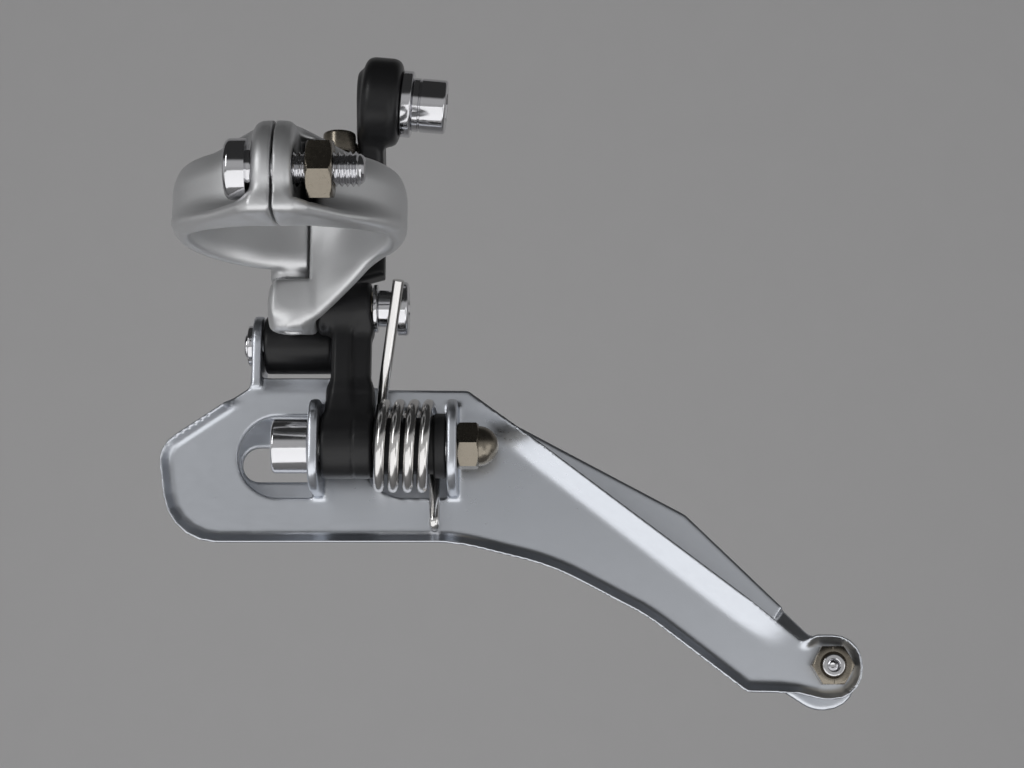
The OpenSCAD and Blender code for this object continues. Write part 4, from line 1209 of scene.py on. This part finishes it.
        form = without(form, np.maximum(disc(y, z, PIVOT_D, PIN_R + FIXED_FIT), z - PIVOT_D[1] - 4.0), SHEET_EDGE)
        return self._drilled(form, x, z, 34.0 - y)

    def _drilled(self, form: Array, x: Array, z: Array, room: Array | float) -> Array:
        """A plate with the holes for its rivets and for the tail screw.

        Args:
            form: Distances to the plate.
            x, z: Places along the axes.
            room: Distances to where the rivets' holes may be.

        Returns:
            Distances to what is left.
        """
        for place in self.rivet_x:
            hole = disc(x, z, (place, self.bridge_z - self.rivet_drop), self.rivet_r + FIXED_FIT)
            form = without(form, np.maximum(hole, room), SHEET_EDGE)
        return without(form, disc(x, z, self.tail, self.screw_r + FIXED_FIT), SHEET_EDGE)

    def _cut_out(self, x: Array, z: Array, start: float, end: float) -> Array:
        """A D-shaped hole beside an axle tab, round towards the nose.

        Args:
            x, z: Places along the axes.
            start, end: Round and straight end along X.

        Returns:
            Distances to the hole.
        """
        half, middle = self.cut_half, PIVOT_C[1] - 0.8
        box = np.maximum(np.abs(z - middle) - half, span(x, start + half, end))
        return np.minimum(disc(x, z, (start + half, middle), half), box)

    def _axle_tab(self, x: Array, y: Array, z: Array, start: float) -> Array:
        """A tab bent from the inner plate that carries the lower axle.

        Args:
            x, y, z: Places along the axes.
            start: Front face along X.

        Returns:
            Distances to the tab.
        """
        cy, cz = PIVOT_C
        flat = np.maximum(np.abs(z - cz) - self.axle_tab_r, span(y, cy, self.near_y + self.thick))
        flat = common(np.minimum(disc(y, z, PIVOT_C, self.axle_tab_r), flat), cy - 6.2 - y, 1.0)
        tab = common(flat, span(x, start, start + self.tab_t), 0.6)
        return without(tab, disc(y, z, PIVOT_C, AXLE_R + FIXED_FIT), SHEET_EDGE)

    def outer_form(self, x: Array, y: Array, z: Array) -> Array:
        """The outer plate, with a long opening behind the front cut-out.

        Args:
            x, y, z: Places along the axes.

        Returns:
            Distances to the form.
        """
        tx, tz = self.tail
        top, belly = self.bridge_z, self.belly_z
        edge = area(x, z, rounded([
            (-8.0, top - 1.0, 3.0), (26.0, top - 1.6, 4.0), (62.6, top - 21.2, 3.0), (tx - 1.5, tz + 5.7, 2.0),
            (tx + 6.1, tz + 3.4, 4.5), (tx + 6.1, tz - 6.9, 5.6), (tx - 1.5, tz - 6.9, 6.0), (tx - 12.2, tz + 0.1, 3.0),
            (tx - 30.5, belly - 8.0, 30.0), (40.0, belly - 1.2, 40.0), (24.0, belly + 2.0, 30.0),
            (-19.3, belly + 2.0, 8.0), (-20.3, top - 12.0, 5.0)]))
        back = (x - tx + 6.2) * 0.7 + (z - tz - 6.2) * 0.714
        bend = 0.75 * ease(0.79 * (x - tx + 6.1) - 0.61 * (z - tz - 9.5), -0.4, 0.4)
        near = y - self.far_y + bend * join(-back, 0.0 * back, 0.6)
        near = near / np.sqrt(1 + (bend * ease(back, -0.3, 0.3)) ** 2)
        form = common(edge, span(near, 0.0, self.thick), 0.5)
        ends = [(place, PIVOT_C[1] - 0.6) for place in self.slot_x]
        form = without(form, bar(x, z, ends[0], self.slot_r, ends[1], self.slot_r))
        return self._drilled(form, x, z, -math.inf)

    def _rivets(self) -> None:
        """Builds the rivets: one domed rivet, set at each point by Geometry Nodes."""
        low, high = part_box("cage_rivets")
        r, wide, dome = self.rivet_r, self.rivet_head_r, self.rivet_dome
        end = [(0.0, 0.0), (0.05, wide * 0.5), (0.22, wide * 0.8), (0.45, wide * 0.97), (dome, wide), (dome, r)]
        whole = length("cage_rivets", 1)
        stations = end + [(whole - along, radius) for along, radius in reversed(end)]
        pattern = turned("rivet_pattern", Vector((0, 0, 0)), Y_AXIS, X_AXIS, stations, 48)
        z = (low.z + high.z) / 2
        mesh = bpy.data.meshes.new("cage_rivets_domed")
        mesh.from_pydata([(low.x + wide * MM, low.y, z), (high.x - wide * MM, low.y, z)], [], [])

        def core(tree: Tree, start: Any) -> Socket:
            """Sets the pattern at each point."""
            info = add_node(tree, "GeometryNodeObjectInfo", {"Object": start["Pattern"]})
            place = add_node(tree, "GeometryNodeInstanceOnPoints", {
                "Points": start["Geometry"], "Instance": info.outputs["Geometry"]})
            return place.outputs["Instances"]

        rivets = grow(add_object("cage_rivets_domed", mesh), CHROME, {"Pattern": ("Object", pattern)}, core)
        bpy.data.objects.remove(pattern)
        settle(rivets, "cage", CHROME, "cage_rivets")

    def _tail(self) -> None:
        """Builds the tail spacer, screw and nut."""
        r, hole = self.screw_r, 0.99
        turn_node("cage_spacer", "turned", "cage", CHROME, ring(
            r + LOOSE_GAP, r + 1.2, length("cage_spacer", 1), 0.2), 1, segments=64)
        head = length("cage_screw", 1) - 1.8
        turn_node("cage_screw", "turned", "cage", CHROME, [
            (2.9, 0.0), (2.2, hole), (0.1, hole), (0.0, hole + 0.12), *round_edge(0.0, r, 0.25, 1), (head, r),
            (head, r + 1.5), (head + 0.2, r + 1.7), (head + 0.9, r + 1.6), (head + 1.35, r + 1.2),
            (head + 1.65, r + 0.5), (head + 1.8, 0.0)], 1, segments=64, on="cage_spacer")
        height = length("cage_nut", 1)
        turn_node("cage_nut", "hex", "cage", NICKEL_BRASS, [
            (0.35, r + TIGHT_GAP), (0.0, r + 0.35), *hex_sides(height, self.nut_af), (height, r + TIGHT_GAP)],
            1, X_AXIS, on="cage_spacer")


@dataclass
class Axle:
    """The lower inner pivot: shoulder bolt, acorn nut and spring collar.

    Args:
        head_r: Radius of the axle head.
        head_h: Height of the axle head.
        acorn_af: Width across the flats of the acorn nut.
        acorn_hex: Length of the acorn nut's hexagon.
        guide_r: Radius of the collar inside the coils.
        flange_t: Thickness of the collar's flange.
    """

    head_r: float = 4.35
    head_h: float = 6.0
    acorn_af: float = 7.0
    acorn_hex: float = 3.4
    guide_r: float = 4.5
    flange_t: float = 1.9

    def build(self) -> None:
        """Builds the axle, the acorn nut with its dome over a blind bore, and the collar that guides the coils."""
        r, h, socket = self.head_r, self.head_h, hexagon(KEY_AF)
        whole = length("lower_inner_axle")
        turn_node("lower_inner_axle", "turned", "cage", CHROME, [
            (3.2, 0.0), (3.0, socket), (0.25, socket), (0.0, hexagon(KEY_AF + 0.4)), *round_edge(0.0, r, 0.5, 1),
            (h - 0.3, r), (h, r - 0.25), (h, AXLE_R), (whole, AXLE_R), (whole, 0.0)])
        whole, h, bore = length("axle_nut"), self.acorn_hex, AXLE_R + TIGHT_GAP
        dome_r = whole - h
        turns = [math.pi / 2 * k / 12 for k in range(12)]
        turn_node("axle_nut", "acorn", "cage", NICKEL_BRASS, [
            (h + 0.1, 0.0), (h + 0.1, bore), (0.3, bore), (0.0, bore + 0.3), *hex_sides(h, self.acorn_af),
            *[(h + dome_r * math.sin(t), dome_r * math.cos(t)) for t in turns], (whole, 0.0)],
            first=Y_AXIS, on="lower_inner_axle")
        whole, bore, flange = length("spring_collar"), AXLE_R + LOOSE_GAP, length("spring_collar", 2) / 2
        step = whole - self.flange_t
        turn_node("spring_collar", "moulded", "cage", BLACK_PLASTIC, [
            (0.0, bore), *round_edge(0.0, self.guide_r, 0.3, 1), (step, self.guide_r), (step, flange - 0.3),
            (step + 0.3, flange), *reversed(round_edge(whole, flange, 0.3, -1)), (whole, bore)],
            on="lower_inner_axle")


@dataclass
class ReturnSpring:
    """The return spring, a wire with four coils round the axle and a leg at each end.

    Args:
        wire_d: Diameter of the wire in millimetres.
        coil_r: Mean radius of the coils.
        pitch: Distance between coils.
        first_deg: Turn at which the upper leg runs into the coils, behind the axle.
        last_deg: Turn at which the lower leg leaves them.
        first_x: Place of the first coil along X.
        leg_top: End of the upper leg.
        foot: End of the lower leg at the plate.
        foot_out: Length of the foot that points to the plate.
        bend: Distance from the foot's knee at which its rounding starts.
        sides: Sides of the wire.
        sharp_deg: Edges of the wire that turn more than this stay sharp.
    """

    wire_d: float = 1.8
    coil_r: float = 6.6
    pitch: float = 2.3
    first_deg: float = 25.89
    last_deg: float = -1454.18
    first_x: float = 11.6
    leg_top: Triple = (15.5, 16.775, -6.2)
    foot: Triple = (21.056, 28.146, -44.174)
    foot_out: float = 2.4
    bend: float = 1.6
    sides: int = 20
    sharp_deg: float = 50.0

    def route(self) -> list[Vector]:
        """Points of the wire's middle line.

        Returns:
            The points in metres, from the upper leg to the foot.
        """
        axis = centre("lower_inner_axle") / MM
        coil = []
        for turn in np.radians(np.linspace(self.first_deg, self.last_deg, 200)):
            coil.append(Vector((self.first_x + self.pitch * (math.radians(self.first_deg) - turn) / math.tau,
                                axis.y + self.coil_r * math.cos(turn), axis.z + self.coil_r * math.sin(turn))))
        leg = [Vector(self.leg_top).lerp(coil[0], k / 8) for k in range(8)]
        last, foot = coil[-1], Vector(self.foot)
        knee = foot - Vector((0, self.foot_out, 0))
        reach = min(self.bend, (knee - last).length * 0.45, (foot - knee).length * 0.45)
        start = knee + (last - knee).normalized() * reach
        end = knee + (foot - knee).normalized() * reach
        turns = [k / 8 for k in range(9)]
        curve = [start * (1 - t) ** 2 + knee * 2 * t * (1 - t) + end * t ** 2 for t in turns]
        return [point * MM for point in [*leg, *coil, *curve, foot]]

    def build(self) -> None:
        """Builds the wire by Geometry Nodes and bends it between the link and the cage."""
        curve = bpy.data.curves.new("return_spring_wound", "CURVE")
        curve.dimensions = "3D"
        spline = curve.splines.new("POLY")
        route = self.route()
        spline.points.add(len(route) - 1)
        for point, place in zip(spline.points, route):
            point.co = (*place, 1.0)

        def core(tree: Tree, start: Any) -> Socket:
            """Sweeps a circle along the curve."""
            circle = add_node(tree, "GeometryNodeCurvePrimitiveCircle", {
                "Radius": start["Wire Radius"], "Resolution": start["Sides"]})
            sweep = add_node(tree, "GeometryNodeCurveToMesh", {
                "Curve": start["Geometry"], "Profile Curve": circle.outputs["Curve"], "Fill Caps": True})
            return sweep.outputs["Mesh"]

        values = {"Wire Radius": ("Float", self.wire_d / 2 * MM), "Sides": ("Int", self.sides)}
        piece = grow(add_object("return_spring_wound", curve), SPRING_STEEL, values, core)
        piece.data.shade_smooth()
        piece.data.set_sharp_from_angle(angle=math.radians(self.sharp_deg))
        paint(piece, SPRING_STEEL)
        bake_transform(piece)
        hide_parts("return_spring")
        report(piece)


@dataclass
class Bushes:
    """The bronze bushes, which stay as the CAD has them.

    Args:
        node: Their CAD node.
    """

    node: str = "inner_link_bushes"

    def dress(self) -> None:
        """Gives the bushes their bronze finish."""
        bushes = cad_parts[self.node]
        paint(bushes, BRONZE)
        report(bushes)


@dataclass
class Studio:
    """The pale floor and backdrop, the lights and the camera.

    Args:
        floor_z: Height of the floor in metres.
        back_y: Place of the backdrop.
        cove: Radius of the curve between floor and backdrop.
        half_width: Half the width of the floor.
        reach: Length of the floor towards the camera, and height of the backdrop.
        floor_colour: Linear colour of floor and backdrop.
        sky: Strength of the world by the sine of the height.
        lights: Name, place, size and power of each lamp.
        target: Point that the lamps are turned to.
        camera: Place of the camera.
        pitch_deg: Angle at which the camera looks up.
        lens: Focal length in millimetres on a 36 mm sensor.
    """

    floor_z: float = -0.62
    back_y: float = 0.8
    cove: float = 0.25
    half_width: float = 2.2
    reach: float = 1.6
    floor_colour: Triple = (0.67, 0.665, 0.67)
    sky: Pairs = ((-1.0, 0.7), (-0.5, 0.7), (-0.4, 0.42), (-0.2, 0.42), (-0.1, 0.48), (0.23, 0.48),
                  (0.38, 0.035), (1.0, 0.035))
    lights: tuple[tuple[str, Triple, Pair, float], ...] = (
        ("key_below", (-0.12, -0.30, -0.40), (1.2, 0.6), 2.8),
        ("low_right", (0.45, -0.22, -0.25), (0.3, 0.5), 0.55),
        ("left_strip", (-0.30, -0.37, 0.13), (0.08, 0.30), 0.42))
    target: Triple = (0.033, 0.01, -0.025)
    camera: Triple = (0.03355, -0.29544, -0.0780)
    pitch_deg: float = 10.0
    lens: float = 70.66

    def build(self) -> None:
        """Builds the stage, the lights, the world and the camera."""
        self._stage()
        for name, place, size, power in self.lights:
            lamp = bpy.data.lights.new(name, "AREA")
            lamp.shape = "RECTANGLE"
            lamp.size, lamp.size_y = size
            lamp.energy = power
            holder = add_object(name, lamp)
            holder.location = place
            holder.rotation_mode = "QUATERNION"
            holder.rotation_quaternion = (Vector(self.target) - Vector(place)).to_track_quat("-Z", "Y")
        self._world()
        self._camera()

    def _stage(self) -> None:
        """Builds the floor that curves up into the backdrop."""
        turns = [math.pi / 2 * k / 16 for k in range(17)]
        bend = [(self.back_y - self.cove + self.cove * math.sin(t), self.floor_z + self.cove * (1 - math.cos(t)))
                for t in turns]
        rail = [(-self.reach, self.floor_z), *bend, (self.back_y, self.reach)]
        count = len(rail)
        points = [(side * self.half_width, y, z) for side in (-1, 1) for y, z in rail]
        mesh = bpy.data.meshes.new("studio_sweep")
        mesh.from_pydata(points, [], [(k, count + k, count + k + 1, k + 1) for k in range(count - 1)])
        mesh.shade_smooth()
        sweep = add_object("studio_sweep", mesh)
        paper = bpy.data.materials.new("pale_paper")
        paper.use_nodes = True
        tree = paper.node_tree
        place = add_node(tree, "ShaderNodeTexCoord").outputs["Object"]
        noise = add_node(tree, "ShaderNodeTexNoise", {"Vector": place, "Scale": 40.0})
        paler = tuple(c * 1.03 for c in self.floor_colour)
        colour = mix(tree, self.floor_colour, paler, noise.outputs["Fac"])
        feed(tree, tree.nodes["Principled BSDF"], {"Base Color": colour, "Roughness": 0.9})
        mesh.materials.append(paper)

    def _world(self) -> None:
        """Makes the world: a soft pale grey that darkens upwards."""
        world = bpy.data.worlds.new("studio_world")
        bpy.context.scene.world = world
        world.use_nodes = True
        tree = world.node_tree
        place = add_node(tree, "ShaderNodeTexCoord").outputs["Generated"]
        parts = add_node(tree, "ShaderNodeSeparateXYZ", {"Vector": place})
        spread = add_node(tree, "ShaderNodeMapRange", {"Value": parts.outputs["Z"], "From Min": -1.0})
        fade = add_node(tree, "ShaderNodeValToRGB", {"Fac": spread.outputs["Result"]})
        bands = fade.color_ramp.elements
        bands[0].position, bands[1].position = 0.0, 1.0
        for _ in self.sky[2:]:
            bands.new(0.5)
        for band, (height, strength) in zip(bands, self.sky):
            band.position = (height + 1) / 2
            band.color = (strength, strength, strength, 1.0)
        feed(tree, tree.nodes["Background"], {"Color": (1.0, 1.0, 1.0, 1.0), "Strength": fade.outputs["Color"]})

    def _camera(self) -> None:
        """Sets the camera at the photograph's angle."""
        data = bpy.data.cameras.new("camera")
        data.lens = self.lens
        data.sensor_width = 36.0
        data.clip_start = 0.01
        data.clip_end = 20.0
        holder = add_object("camera", data)
        holder.location = self.camera
        holder.rotation_euler = (math.radians(90.0 + self.pitch_deg), 0.0, 0.0)
        bpy.context.scene.camera = holder


def main() -> None:
    logging.basicConfig(level=logging.INFO, format="%(name)s %(message)s")
    bpy.context.scene.view_settings.view_transform = "Standard"
    for assembly in (Clamp(), Linkage(), CableAnchor(), Cage(), Axle(), ReturnSpring()):
        assembly.build()
    Bushes().dress()
    Studio().build()


if __name__ == "__main__":
    main()
